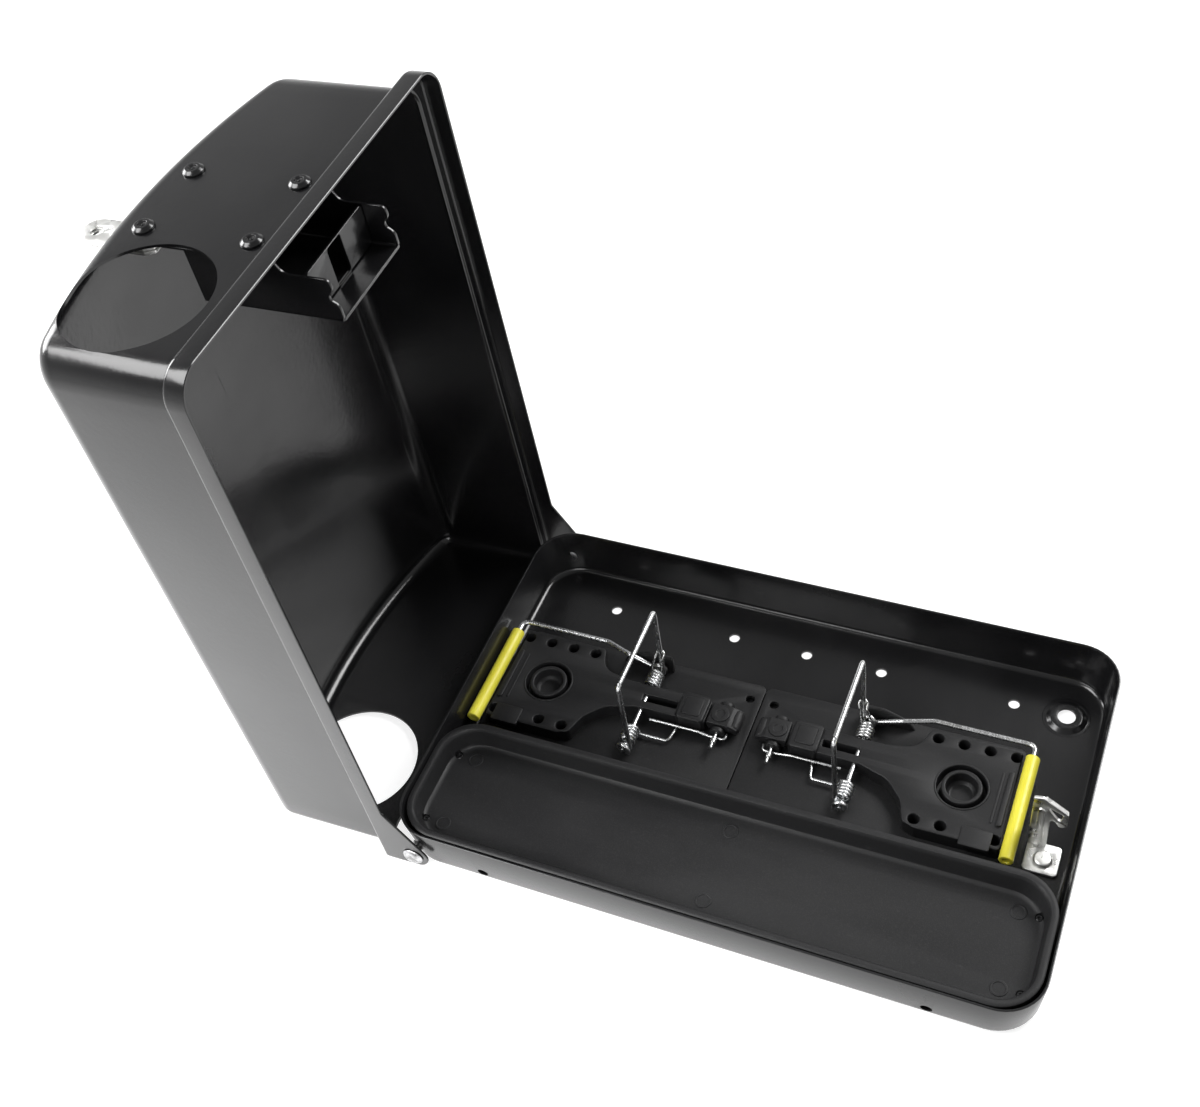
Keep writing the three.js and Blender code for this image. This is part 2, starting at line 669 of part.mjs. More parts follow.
function springLatch() {
  const start = LATCH_START;
  const leg = start + LATCH_LEG;
  const tip = leg + LATCH_HOOK;
  const base = FLOOR + GAP;
  const shape = outline([
    [start, base],
    [leg, base],
    [leg, LATCH_HEIGHT - 13],
    [tip - 3, LATCH_HEIGHT - 20],
    [tip, LATCH_HEIGHT - 18],
    [tip, LATCH_HEIGHT - 8],
    [start + 4, LATCH_HEIGHT],
    [start, LATCH_HEIGHT - 1],
  ]);
  const loop = outline([
    [leg - 2, LATCH_HEIGHT - 6],
    [leg + 1, LATCH_HEIGHT - 11],
    [tip - 3, LATCH_HEIGHT - 16],
    [tip - 2, LATCH_HEIGHT - 9],
  ]);
  const y = LATCH_ACROSS - HALF_WIDTH;
  const leaf = acrossY(shape, y, y + LATCH_SHEET);
  const opening = acrossY(loop, y - 2, y + LATCH_SHEET + 2);
  const foot = box(start, tip, y - LATCH_FOOT, y + LATCH_SHEET, base, base + LATCH_SHEET);
  const hole = cylinder(
    RIVET_SHANK + SHAFT_GAP, 10, [0, 0, 1], [start + LATCH_LEG, y - LATCH_FOOT / 2, base], 16
  );
  return cut(leaf.add(foot), [opening, hole]);
}

function latchRivet() {
  const top = FLOOR + GAP + LATCH_SHEET + GAP;
  return turned(
    [
      [0, FLOOR + SHAFT_GAP],
      [RIVET_SHANK, FLOOR + SHAFT_GAP],
      [RIVET_SHANK, top],
      [RIVET_HEAD - 0.6, top],
      [RIVET_HEAD - 1.6, top + 1.4],
      [0, top + 1.7],
    ],
    LATCH_START + LATCH_LEG, LATCH_ACROSS - HALF_WIDTH - LATCH_FOOT / 2, 20
  );
}

addPiece(station, "latch_spring", springLatch(), zincSteel);
addPiece(station, "latch_rivet", latchRivet(), zincSteel);

// ---- Bait tray ----

// A rounded block whose walls lean in towards the base
function trayBlock(inset, low, high) {
  const bottom = roundedRectangle(
    inset - TRAY_X, TRAY_X - inset, inset + TRAY_NEAR, TRAY_FAR - inset, TRAY_CORNER - inset
  );
  const geometry = extruded(bottom, high - low, { steps: 1 }).translate(0, 0, low);
  const position = geometry.attributes.position;
  const middle = (TRAY_NEAR + TRAY_FAR) / 2;
  for (let i = 0; i < position.count; i++) {
    const lean = (TRAY_DRAFT * (TRAY_TOP - position.getZ(i))) / (TRAY_TOP - TRAY_BASE);
    const y = position.getY(i) - middle;
    position.setX(i, position.getX(i) * (1 - lean / TRAY_X));
    position.setY(i, middle + y * (1 - (2 * lean) / TRAY_WIDTH));
  }
  return toSolid(geometry);
}

function trayScrewPlaces() {
  const middle = (TRAY_NEAR + TRAY_FAR) / 2;
  const x = HALF_LENGTH - PAN_CORNER + TRAY_SCREW_PAST_CORNER;
  return [-1, 1].flatMap((end) =>
    [-1, 1].map((side) => [end * x, middle + (side * TRAY_SCREW_SPREAD) / 2])
  );
}

function trayPipPlaces() {
  const inward = 9;
  const ends = trayScrewPlaces().map(([x, y]) => [x - Math.sign(x) * inward, y]);
  const middle = trayScrewPlaces().slice(0, 2).map(([, y]) => [0, y]);
  return [...ends, ...middle];
}

function baitTray() {
  const up = [0, 0, 1];
  const outside = trayBlock(0, TRAY_BASE, TRAY_TOP);
  const bowl = trayBlock(TRAY_WALL, TRAY_FLOOR, TRAY_TOP + 2);
  const under = trayBlock(TRAY_WALL, 0, TRAY_FLOOR - TRAY_WALL);
  const bosses = trayScrewPlaces().map(([x, y]) =>
    cylinder(TRAY_BOSS, TRAY_FLOOR - TRAY_BASE, up, [x, y, (TRAY_FLOOR + TRAY_BASE) / 2], 16)
  );
  const pips = trayPipPlaces().map(([x, y]) =>
    cylinder(TRAY_PIP_RADIUS, 2, up, [x, y, TRAY_FLOOR - 0.2], 16)
  );
  const holes = trayScrewPlaces().map(([x, y]) =>
    cylinder(TRAY_SCREW_RADIUS + SHAFT_GAP, 3 * TRAY_FLOOR, up, [x, y, 0], 12)
  );
  const sinks = trayScrewPlaces().map(([x, y]) =>
    cylinder(TRAY_SCREW_HEAD + GAP, 4, up, [x, y, TRAY_FLOOR + 1], 16)
  );
  const rivetRelief = cylinder(
    RIVET_TAIL + 2 * GAP, 2 * (HALF_WIDTH - rivetTailFoot() + RIVET_TAIL_RISE + GAP), [0, 1, 0],
    [PIVOT_X, -HALF_WIDTH, PIVOT_HEIGHT], 20
  );
  const shell = cut(outside, [bowl, under, rivetRelief]);
  return cut(join([shell, ...bosses, ...pips]), [...holes, ...sinks]);
}

addPiece(station, "bait_tray", baitTray(), blackPlastic);

function trayScrew([x, y]) {
  const seat = TRAY_FLOOR - 1 + SHAFT_GAP;
  return turned(
    [
      [0, FLOOR + SHAFT_GAP],
      [TRAY_SCREW_RADIUS, FLOOR + SHAFT_GAP],
      [TRAY_SCREW_RADIUS, seat],
      [TRAY_SCREW_HEAD, seat],
      [TRAY_SCREW_HEAD, seat + 0.7],
      [TRAY_SCREW_HEAD * 0.6, seat + 1.4],
      [1, seat + 1.4],
      [0, seat + 0.5],
    ],
    x, y, 16
  );
}

trayScrewPlaces().forEach((place, index) => {
  addPiece(station, `tray_screw_${index + 1}`, trayScrew(place), blackSteel);
});

// ---- Snap traps ----

// Plan of the raised casting: a neck that sweeps out into the block at the outer end
function castingPlan() {
  const end = TRAP_LENGTH;
  const half = BLOCK_WIDTH / 2;
  const neckNear = NECK_OFFSET - NECK_WIDTH / 2;
  const neckFar = NECK_OFFSET + NECK_WIDTH / 2;
  const shape = new THREE.Shape();
  shape.moveTo(PEDAL_AT + PEDAL_LENGTH / 2 + GAP, neckNear);
  shape.lineTo(AXLE_AT + 6, neckNear);
  shape.quadraticCurveTo(BLOCK_START, neckNear, BLOCK_START, 3 - half);
  shape.lineTo(BLOCK_START + 3, -half);
  shape.lineTo(end, -half);
  shape.lineTo(end, half);
  shape.lineTo(BLOCK_START, half);
  shape.quadraticCurveTo(BLOCK_START - 4, neckFar, AXLE_AT + 12, neckFar);
  shape.lineTo(PEDAL_AT + PEDAL_LENGTH / 2 + GAP, neckFar);
  shape.closePath();
  return shape;
}

function pegHolePlaces() {
  const pitch = 12.2;
  const row = BLOCK_WIDTH / 2 - 4.6;
  const columns = [0, 1, 2, 3].map((i) => TRAP_LENGTH - 2.6 - pitch * (3 - i) - 0.5);
  return columns.flatMap((u, i) => (i === 2 ? [[u, row]] : [[u, row], [u, -row]]));
}

function trapCasting() {
  const up = [0, 0, 1];
  const base = FLOOR + GAP;
  const deckHalf = DECK_WIDTH / 2;
  const deck = upright(roundedRectangle(GAP / 2, TRAP_LENGTH, -deckHalf, deckHalf, 3), base, DECK_TOP);
  const casting = upright(castingPlan(), base, BLOCK_TOP);
  const blockHalf = BLOCK_WIDTH / 2;
  const fin = acrossY(finOutline(), blockHalf + 1, blockHalf + 3);
  const tab = box(CUP_AT + 6, CUP_AT + 20, 1 - blockHalf, 9 - blockHalf, BLOCK_TOP - 1, BLOCK_TOP + 1);
  const bar = box(TRAP_LENGTH - 4, TRAP_LENGTH - 2, -16, 14, BLOCK_TOP - 1, BLOCK_TOP + 1.2);
  const cupWell = cylinder(CUP_RADIUS + GAP, 2 * (BLOCK_TOP - DECK_TOP), up, [CUP_AT, 0, BLOCK_TOP], 32);
  const slot = box(AXLE_AT - 17, AXLE_AT + 1, NECK_OFFSET - 3, NECK_OFFSET + 1, DECK_TOP, BLOCK_TOP + 2);
  const pegs = pegHolePlaces().map(([u, v]) => cylinder(PEG_HOLE, 12, up, [u, v, BLOCK_TOP], 14));
  const axleHole = cylinder(AXLE_RADIUS + SHAFT_GAP, 80, [0, 1, 0], [AXLE_AT, 0, AXLE_HEIGHT], 14);
  const rodHole = cylinder(PEDAL_PIN_RADIUS + SHAFT_GAP, 30, [0, 1, 0], [PEDAL_AT, NECK_OFFSET, BLOCK_TOP - 3], 12);
  const lugs = [-1, 1].map((side) => pedalLug(side));
  const solid = join([deck, casting, fin, tab, bar, ...lugs]);
  return cut(solid, [cupWell, slot, axleHole, rodHole, ...pegs]);
}

// The arched rib on the far edge, beside the spring
function finOutline() {
  const shape = new THREE.Shape();
  shape.moveTo(AXLE_AT - 6, FLOOR + GAP);
  shape.lineTo(AXLE_AT + 20, FLOOR + GAP);
  shape.quadraticCurveTo(AXLE_AT + 16, BLOCK_TOP, AXLE_AT - 2, BLOCK_TOP + 3);
  shape.lineTo(AXLE_AT - 6, BLOCK_TOP - 2);
  shape.closePath();
  return shape;
}

// One of the two ears that carry the pedal's pin
function pedalLug(side) {
  const v = NECK_OFFSET + side * (PEDAL_WIDTH / 2 + PEDAL_EAR / 2 + GAP);
  return box(
    PEDAL_AT - 3, PEDAL_AT + 3, v - PEDAL_EAR / 2, v + PEDAL_EAR / 2, FLOOR + GAP, BLOCK_TOP - 0.5
  );
}

function baitCup() {
  const base = DECK_TOP + GAP;
  return turned(
    [
      [0, base],
      [CUP_LIP, base],
      [CUP_LIP, BLOCK_TOP - 0.4],
      [CUP_LIP - 0.6, BLOCK_TOP + 0.2],
      [CUP_BORE + 0.4, BLOCK_TOP + 0.2],
      [CUP_BORE, BLOCK_TOP - 0.4],
      [CUP_BORE - 1, base + 1.4],
      [0, base + 1.4],
    ],
    CUP_AT, 0
  );
}

// An eye of wire round the axle
function axleEye(v) {
  return cylinder(2.9, 2 * WIRE_RADIUS, [0, 1, 0], [AXLE_AT, v, AXLE_HEIGHT], 18);
}

function striker() {
  const lean = THREE.MathUtils.degToRad(BAIL_LEAN);
  const topU = AXLE_AT - BAIL_HEIGHT * Math.sin(lean);
  const topZ = AXLE_HEIGHT + BAIL_HEIGHT * Math.cos(lean);
  const gripLevel = BLOCK_TOP + 1;
  const path = [
    [AXLE_AT, -BAIL_HALF, AXLE_HEIGHT + 2],
    [topU, -BAIL_HALF, topZ],
    [topU, BAIL_HALF, topZ],
    [AXLE_AT, BAIL_HALF, AXLE_HEIGHT + 2],
  ];
  const arm = [
    [AXLE_AT + 2, BAIL_HALF, AXLE_HEIGHT],
    [AXLE_AT + 16, BAIL_HALF + 1.5, gripLevel + 1],
    [BLOCK_START + 4, ARM_SIDE, gripLevel],
    [GRIP_AT, ARM_SIDE, gripLevel],
    [GRIP_AT, GRIP_NEAR + 8, gripLevel],
  ];
  const bore = cylinder(AXLE_RADIUS + SHAFT_GAP, 80, [0, 1, 0], [AXLE_AT, 0, AXLE_HEIGHT], 18);
  const eyes = [-BAIL_HALF, BAIL_HALF].map((v) => axleEye(v));
  return cut(join([wire(path, WIRE_RADIUS, 3), wire(arm, WIRE_RADIUS, 3), ...eyes]), [bore]);
}

function grip() {
  const middle = (GRIP_NEAR + GRIP_FAR) / 2;
  const centre = [GRIP_AT, middle, BLOCK_TOP + 1];
  const sleeve = cylinder(GRIP_RADIUS, GRIP_FAR - GRIP_NEAR, [0, 1, 0], centre, 20);
  const bore = cylinder(
    WIRE_RADIUS + SHAFT_GAP, GRIP_FAR - GRIP_NEAR, [0, 1, 0], [GRIP_AT, middle + 6, BLOCK_TOP + 1], 14
  );
  return cut(sleeve, [bore]);
}

// A torsion spring: close turns round the axle and a leg bent over to the neck
class SpringCurve extends THREE.Curve {
  constructor(start, direction) {
    super();
    this.start = start;
    this.direction = direction;
  }

  getPoint(t, target = new THREE.Vector3()) {
    const angle = 2 * Math.PI * SPRING_TURNS * t;
    const along = this.start + this.direction * SPRING_TURNS * SPRING_PITCH * t;
    return target.set(
      AXLE_AT + SPRING_RADIUS * Math.sin(angle),
      along,
      AXLE_HEIGHT - SPRING_RADIUS * Math.cos(angle)
    );
  }
}

function torsionSpring(side) {
  const start = side * (BAIL_HALF - WIRE_RADIUS - SPRING_WIRE - GAP);
  const coil = swept(new SpringCurve(start, -side), SPRING_WIRE, 14 * SPRING_TURNS, 6);
  const inner = start - side * SPRING_TURNS * SPRING_PITCH;
  const neckSide = NECK_OFFSET + side * (NECK_WIDTH / 2 + SPRING_WIRE + GAP);
  const low = AXLE_HEIGHT - SPRING_RADIUS;
  const leg = wire(
    [
      [AXLE_AT + 0.6, inner, low],
      [AXLE_AT - 18, inner, low],
      [AXLE_AT - 21, neckSide, low],
    ],
    SPRING_WIRE, 1.5, 3, 6
  );
  return coil.add(leg);
}

function trapAxle() {
  return cylinder(AXLE_RADIUS, 2 * AXLE_HALF, [0, 1, 0], [AXLE_AT, 0, AXLE_HEIGHT], 14);
}

function pedal() {
  const top = BLOCK_TOP + 0.6;
  const half = PEDAL_WIDTH / 2;
  const start = PEDAL_AT - PEDAL_LENGTH / 2;
  const shape = outline([
    [start, BLOCK_TOP - 5],
    [PEDAL_AT + PEDAL_LENGTH / 2 - 1, BLOCK_TOP - 5],
    [PEDAL_AT + PEDAL_LENGTH / 2, BLOCK_TOP - 2],
    [PEDAL_AT + PEDAL_LENGTH / 2, top],
    [start + 2, top],
    [start - 3, BLOCK_TOP - 1.6],
    [start - 3, BLOCK_TOP - 4],
  ]);
  const plate = acrossY(shape, NECK_OFFSET - half, NECK_OFFSET + half);
  return cut(plate, [cylinder(1.5, 40, [0, 1, 0], [PEDAL_AT, NECK_OFFSET, BLOCK_TOP - 3], 14)]);
}

// The pin runs from the far ear out past the near one
function pedalPin() {
  const far = NECK_OFFSET + PEDAL_WIDTH / 2 + GAP + PEDAL_EAR;
  const near = NECK_OFFSET - PEDAL_WIDTH / 2 - PEDAL_PIN_REACH;
  const centre = [PEDAL_AT, (far + near) / 2, BLOCK_TOP - 3];
  return cylinder(PEDAL_PIN_RADIUS, far - near, [0, 1, 0], centre, 12);
}

// The thin rod that links the pedal to the striker's eye, passing under the pin
function tripRod() {
  const v = NECK_OFFSET - NECK_WIDTH / 2 - 3.2;
  const level = BLOCK_TOP - 3.6;
  const underPin = BLOCK_TOP - 3 - PEDAL_PIN_RADIUS - ROD_RADIUS - GAP;
  return wire(
    [
      [PEDAL_AT - 4.5, NECK_OFFSET - PEDAL_WIDTH / 2 - GAP - 0.4, underPin + 0.3],
      [PEDAL_AT - 4.5, v, underPin],
      [PEDAL_AT + 3.5, v, underPin],
      [PEDAL_AT + 10, v, level],
      [AXLE_AT - 5.5, v, level],
    ],
    ROD_RADIUS, 1.5, 4, 8
  );
}

const TRAP_PIECES = [
  ["trap_casting", trapCasting, blackPlastic],
  ["bait_cup", baitCup, blackPlastic],
  ["trap_axle", trapAxle, brightSteel],
  ["striker", striker, brightSteel],
  ["grip", grip, yellowPlastic],
  ["spring_near", () => torsionSpring(-1), brightSteel],
  ["spring_far", () => torsionSpring(1), brightSteel],
  ["pedal", pedal, blackPlastic],
  ["pedal_pin", pedalPin, brightSteel],
  ["trip_rod", tripRod, brightSteel],
];

// The two traps are mirror images that meet at the seam
for (const [name, make, look] of TRAP_PIECES) {
  const solid = make();
  addPiece(station, `right_${name}`, solid.translate([SEAM_X, TRAP_Y, 0]), look);
  addPiece(station, `left_${name}`, solid.mirror([1, 0, 0]).translate([SEAM_X, TRAP_Y, 0]), look);
}

export default station;
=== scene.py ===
"""Looks of the steel rodent bait station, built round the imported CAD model. Sizes are in millimetres unless
they come from the frame; make_object turns them into metres."""

import json
import math

import bmesh
import bpy
from mathutils import Matrix, Vector


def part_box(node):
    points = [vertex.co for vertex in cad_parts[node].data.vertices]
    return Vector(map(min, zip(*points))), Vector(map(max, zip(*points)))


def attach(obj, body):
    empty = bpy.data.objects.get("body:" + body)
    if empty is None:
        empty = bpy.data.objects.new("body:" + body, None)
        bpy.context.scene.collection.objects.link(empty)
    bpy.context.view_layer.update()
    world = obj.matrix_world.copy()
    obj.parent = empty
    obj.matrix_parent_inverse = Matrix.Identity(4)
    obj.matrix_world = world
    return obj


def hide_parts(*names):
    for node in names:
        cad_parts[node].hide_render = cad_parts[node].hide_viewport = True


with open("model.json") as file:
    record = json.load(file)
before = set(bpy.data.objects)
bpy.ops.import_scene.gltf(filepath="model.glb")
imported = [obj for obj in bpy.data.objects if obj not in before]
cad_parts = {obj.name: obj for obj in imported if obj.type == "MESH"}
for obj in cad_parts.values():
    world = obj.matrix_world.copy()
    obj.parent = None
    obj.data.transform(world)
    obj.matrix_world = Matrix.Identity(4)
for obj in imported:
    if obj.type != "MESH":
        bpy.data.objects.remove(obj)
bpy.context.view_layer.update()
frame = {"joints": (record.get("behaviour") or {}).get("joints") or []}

MM = 0.001


# ---- Sizes, read from the frame or the same as the CAD's ----

def corners(node):
    """The lowest and highest corner of a CAD node, in millimetres."""
    low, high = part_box(node)
    return low / MM, high / MM


PAN_HIGH = corners("base_pan")[1]
RIM = PAN_HIGH.z
HALF_LENGTH = PAN_HIGH.x
HALF_WIDTH = PAN_HIGH.y
SHEET = 1.2
PAN_CORNER = 20
PAN_FLARE = 2.4
PAN_BEND = 4
FLOOR_HOLE_RADIUS = 2.7
FLOOR_HOLE_ROW = HALF_WIDTH - 25
FLOOR_HOLE_INNER = 38.5
FLOOR_HOLE_OUTER = 104
DRAIN_RADIUS = 2.6
DRAIN_HEIGHT = 6.5
ANCHOR_PLACE = (HALF_LENGTH - 21, HALF_WIDTH - 26, 0)
DIMPLE_RADIUS = 11

LID_JOINT = next(j for j in frame["joints"] if j["name"] == "lid_hinge")
PIVOT = Vector(LID_JOINT["pos_m"]) / MM
LID_OPEN = math.radians(LID_JOINT["range_deg"][1])
SKIRT_OUT = 2.5
SHOULDER = 5
SKIRT_DROP = 7.5
OVERHANG = 5
SEAT = RIM + 1
EAVE = RIM + 63.5
CROWN = 15
EAVE_BEND = 8
LID_CORNER = 14
HINGE_END_CORNER = 7
SKIRT_CORNER = 13
BODY_IN = SHOULDER - SKIRT_OUT
BODY_HALF_WIDTH = HALF_WIDTH - BODY_IN
BODY_END = HALF_LENGTH - BODY_IN + OVERHANG
HINGE_WALL_BEHIND_PIVOT = 7.9
BODY_START = PIVOT.x - HINGE_WALL_BEHIND_PIVOT
EAR_RADIUS = 7.5
EAR_END = -106
ENTRY_Y = 42 - HALF_WIDTH
ENTRY_Z = RIM + 40
ENTRY_RADIUS = 30


# ---- Camera, floor and light ----

LENS = 47.18
SENSOR_WIDTH = 36
CAMERA_PLACE = (162.2, -387.0, 640.1)
CAMERA_TARGET = (-110.2, 76.5, 40)
CAMERA_ROLL = -11.04


def add_camera():
    camera_data = bpy.data.cameras.new("camera")
    camera_data.lens = LENS
    camera_data.sensor_width = SENSOR_WIDTH
    camera = bpy.data.objects.new("camera", camera_data)
    place = Vector(CAMERA_PLACE) * MM
    target = Vector(CAMERA_TARGET) * MM
    level = (target - place).to_track_quat("-Z", "Y")
    roll = Matrix.Rotation(math.radians(CAMERA_ROLL), 4, "Z")
    camera.matrix_world = Matrix.Translation(place) @ level.to_matrix().to_4x4() @ roll
    bpy.context.scene.collection.objects.link(camera)
    bpy.context.scene.camera = camera


add_camera()


def area_light(name, place, target, size, power):
    data = bpy.data.lights.new(name, "AREA")
    data.shape = "RECTANGLE"
    data.size, data.size_y = size
    data.energy = power
    light = bpy.data.objects.new(name, data)
    light.location = place
    light.visible_camera = False
    light.rotation_euler = (Vector(target) - Vector(place)).to_track_quat("-Z", "Y").to_euler()
    bpy.context.scene.collection.objects.link(light)


area_light("key_light", (-1.2, -0.5, 1.8), (-0.05, 0, 0.1), (1.1, 1.1), 38)
area_light("back_light", (0.9, 1.3, 1.5), (0, 0, 0.1), (1.2, 0.8), 40)
area_light("left_light", (-1.0, 0.1, 0.55), (-0.25, 0, 0), (0.5, 0.4), 8)
area_light("floor_light", (-0.22, -0.2, 0.15), (-0.22, -0.19, 0), (0.45, 0.08), 1.0)


def add_world():
    world = bpy.data.worlds.new("studio")
    world.use_nodes = True
    tree = world.node_tree
    background = tree.nodes["Background"]
    background.inputs["Strength"].default_value = 1
    # A pale horizon under a darker ceiling
    direction = tree.nodes.new("ShaderNodeTexCoord").outputs["Generated"]
    height = tree.nodes.new("ShaderNodeSeparateXYZ")
    ramp = tree.nodes.new("ShaderNodeValToRGB")
    ramp.color_ramp.elements.new(0.35)
    stops = ((0.0, 1.0), (0.35, 0.5), (1.0, 0.26))
    for element, (place, level) in zip(ramp.color_ramp.elements, stops):
        element.position = place
        element.color = (level, level, level, 1)
    tree.links.new(direction, height.inputs["Vector"])
    tree.links.new(height.outputs["Z"], ramp.inputs["Fac"])
    tree.links.new(ramp.outputs["Color"], background.inputs["Color"])
    bpy.context.scene.world = world


add_world()
bpy.context.scene.view_settings.view_transform = "Standard"


# ---- Materials ----

class Look:
    """A material's node tree, with short ways to add the textures that these materials share."""

    def __init__(self, name, color, roughness, metallic=0.0, coat=0.0):
        self.material = bpy.data.materials.new(name)
        self.material.use_nodes = True
        self.tree = self.material.node_tree
        self.shader = self.tree.nodes["Principled BSDF"]
        self.shader.inputs["Base Color"].default_value = (*color, 1)
        self.shader.inputs["Roughness"].default_value = roughness
        self.shader.inputs["Metallic"].default_value = metallic
        self.shader.inputs["Coat Weight"].default_value = coat
        self.position = self.tree.nodes.new("ShaderNodeTexCoord").outputs["Object"]
        self.height = None

    def noise(self, scale, detail=3.0, stretch=(1, 1, 1), roughness=0.55):
        mapping = self.tree.nodes.new("ShaderNodeMapping")
        mapping.inputs["Scale"].default_value = stretch
        texture = self.tree.nodes.new("ShaderNodeTexNoise")
        texture.inputs["Scale"].default_value = scale
        texture.inputs["Detail"].default_value = detail
        texture.inputs["Roughness"].default_value = roughness
        self.tree.links.new(self.position, mapping.inputs["Vector"])
        self.tree.links.new(mapping.outputs["Vector"], texture.inputs["Vector"])
        return texture.outputs["Fac"]

    def cells(self, scale):
        texture = self.tree.nodes.new("ShaderNodeTexVoronoi")
        texture.inputs["Scale"].default_value = scale
        self.tree.links.new(self.position, texture.inputs["Vector"])
        return texture

    def ramp(self, source, stops):
        """Colours or grey levels along a 0 to 1 value; stops is a list of (place, colour)."""
        node = self.tree.nodes.new("ShaderNodeValToRGB")
        elements = node.color_ramp.elements
        while len(elements) < len(stops):
            elements.new(0.5)
        for element, (place, color) in zip(elements, stops):
            element.position = place
            level = color if isinstance(color, tuple) else (color, color, color)
            element.color = (*level, 1)
        self.tree.links.new(source, node.inputs["Fac"])
        return node.outputs["Color"]

    def mix(self, factor, first, second, blend="MIX"):
        node = self.tree.nodes.new("ShaderNodeMix")
        node.data_type = "RGBA"
        node.blend_type = blend
        for socket, value in (("Factor", factor), ("A", first), ("B", second)):
            index = {"Factor": 0, "A": 6, "B": 7}[socket]
            if isinstance(value, bpy.types.NodeSocket):
                self.tree.links.new(value, node.inputs[index])
            elif socket == "Factor":
                node.inputs[index].default_value = value
            else:
                node.inputs[index].default_value = (*value, 1)
        return node.outputs[2]

    def set(self, socket, source):
        self.tree.links.new(source, self.shader.inputs[socket])

    def bump(self, source, distance, strength=1.0):
        """Adds a height in metres; several bumps build on each other."""
        node = self.tree.nodes.new("ShaderNodeBump")
        node.inputs["Distance"].default_value = distance
        node.inputs["Strength"].default_value = strength
        self.tree.links.new(source, node.inputs["Height"])
        if self.height:
            self.tree.links.new(self.height, node.inputs["Normal"])
        self.height = node.outputs["Normal"]
        self.set("Normal", self.height)


def black_paint(name="black_paint"):
    look = Look(name, (0.006, 0.006, 0.0065), 0.2, coat=0.1)
    look.shader.inputs["Coat Roughness"].default_value = 0.06
    smudge = look.noise(14, 5, (1, 0.6, 1))
    dust = look.noise(1500, 2)
    dusted = look.ramp(dust, [(0.68, 0.0), (0.80, 0.3)])
    black = look.ramp(smudge, [(0.3, (0.004, 0.004, 0.0045)), (0.7, (0.009, 0.009, 0.0095))])
    look.set("Base Color", look.mix(dusted, black, (0.07, 0.07, 0.072)))
    look.set("Roughness", look.ramp(smudge, [(0.25, 0.14), (0.75, 0.30)]))
    look.bump(look.noise(420, 2), 0.00004)
    look.bump(look.noise(9, 2), 0.0006)
    return look.material


def black_plastic(name="black_plastic"):
    look = Look(name, (0.008, 0.008, 0.0085), 0.5)
    look.shader.inputs["Specular IOR Level"].default_value = 0.32
    grain = look.noise(2600, 3)
    flow = look.noise(22, 4, (0.35, 1, 1))
    scuff = look.noise(160, 5, (1, 3, 1), 0.7)
    dusty = look.mix(look.ramp(grain, [(0.5, 0.0), (0.78, 0.5)]),
                     look.ramp(flow, [(0.3, (0.006, 0.006, 0.0065)), (0.75, (0.012, 0.012, 0.0125))]),
                     (0.035, 0.035, 0.037))
    look.set("Base Color", look.mix(look.ramp(scuff, [(0.62, 0.0), (0.8, 0.35)]), dusty, (0.05, 0.05, 0.052)))
    look.set("Roughness", look.ramp(flow, [(0.3, 0.4), (0.7, 0.58)]))
    look.bump(grain, 0.00005)
    return look.material


def bright_wire(name="bright_wire"):
    look = Look(name, (0.66, 0.67, 0.68), 0.26, metallic=1)
    drawn = look.noise(700, 2, (1, 1, 0.15))
    stain = look.noise(35, 3)
    look.set("Base Color", look.ramp(stain, [(0.3, (0.52, 0.52, 0.51)), (0.6, (0.72, 0.73, 0.74))]))
    look.set("Roughness", look.ramp(drawn, [(0.3, 0.2), (0.7, 0.34)]))
    look.bump(drawn, 0.00001)
    return look.material


def zinc_plate(name="zinc_plate"):
    look = Look(name, (0.8, 0.8, 0.78), 0.34, metallic=1)
    spangle = look.cells(330)
    cloud = look.noise(60, 4)
    look.set("Base Color", look.mix(
        look.ramp(cloud, [(0.35, 0.0), (0.7, 0.6)]), (0.86, 0.86, 0.84), (0.64, 0.64, 0.62)))
    look.set("Roughness", look.ramp(spangle.outputs["Color"], [(0.1, 0.24), (0.9, 0.46)]))
    look.bump(look.noise(700, 3), 0.00003)
    return look.material


def yellow_plastic(name="yellow_plastic"):
    look = Look(name, (0.8, 0.72, 0.08), 0.38)
    look.shader.inputs["Subsurface Weight"].default_value = 0.08
    look.shader.inputs["Subsurface Radius"].default_value = (0.003, 0.002, 0.0006)
    cloud = look.noise(45, 3)
    look.set("Base Color", look.ramp(cloud, [
        (0.3, (0.62, 0.56, 0.035)), (0.7, (0.74, 0.68, 0.07))]))
    look.set("Roughness", look.ramp(look.noise(300, 3), [(0.3, 0.3), (0.7, 0.5)]))
    look.bump(look.noise(1200, 2), 0.00003)
    return look.material


def rivet_steel(name="rivet_steel"):
    look = Look(name, (0.5, 0.5, 0.5), 0.3, metallic=1)
    wear = look.noise(260, 4)
    look.set("Base Color", look.ramp(wear, [(0.35, (0.24, 0.24, 0.24)), (0.6, (0.58, 0.58, 0.59))]))
    look.set("Roughness", look.ramp(wear, [(0.3, 0.22), (0.7, 0.42)]))
    look.bump(look.noise(800, 2), 0.00004)
    return look.material


def floor_paint(name="floor_paint"):
    """Mid grey that also gives off white light, which makes most of the floor's paleness."""
    look = Look(name, (0.35, 0.35, 0.35), 0.6)
    look.set("Base Color", look.ramp(look.noise(3, 2), [(0.3, 0.34), (0.7, 0.37)]))
    look.shader.inputs["Emission Color"].default_value = (1, 1, 1, 1)
    look.shader.inputs["Emission Strength"].default_value = 0.8
    return look.material


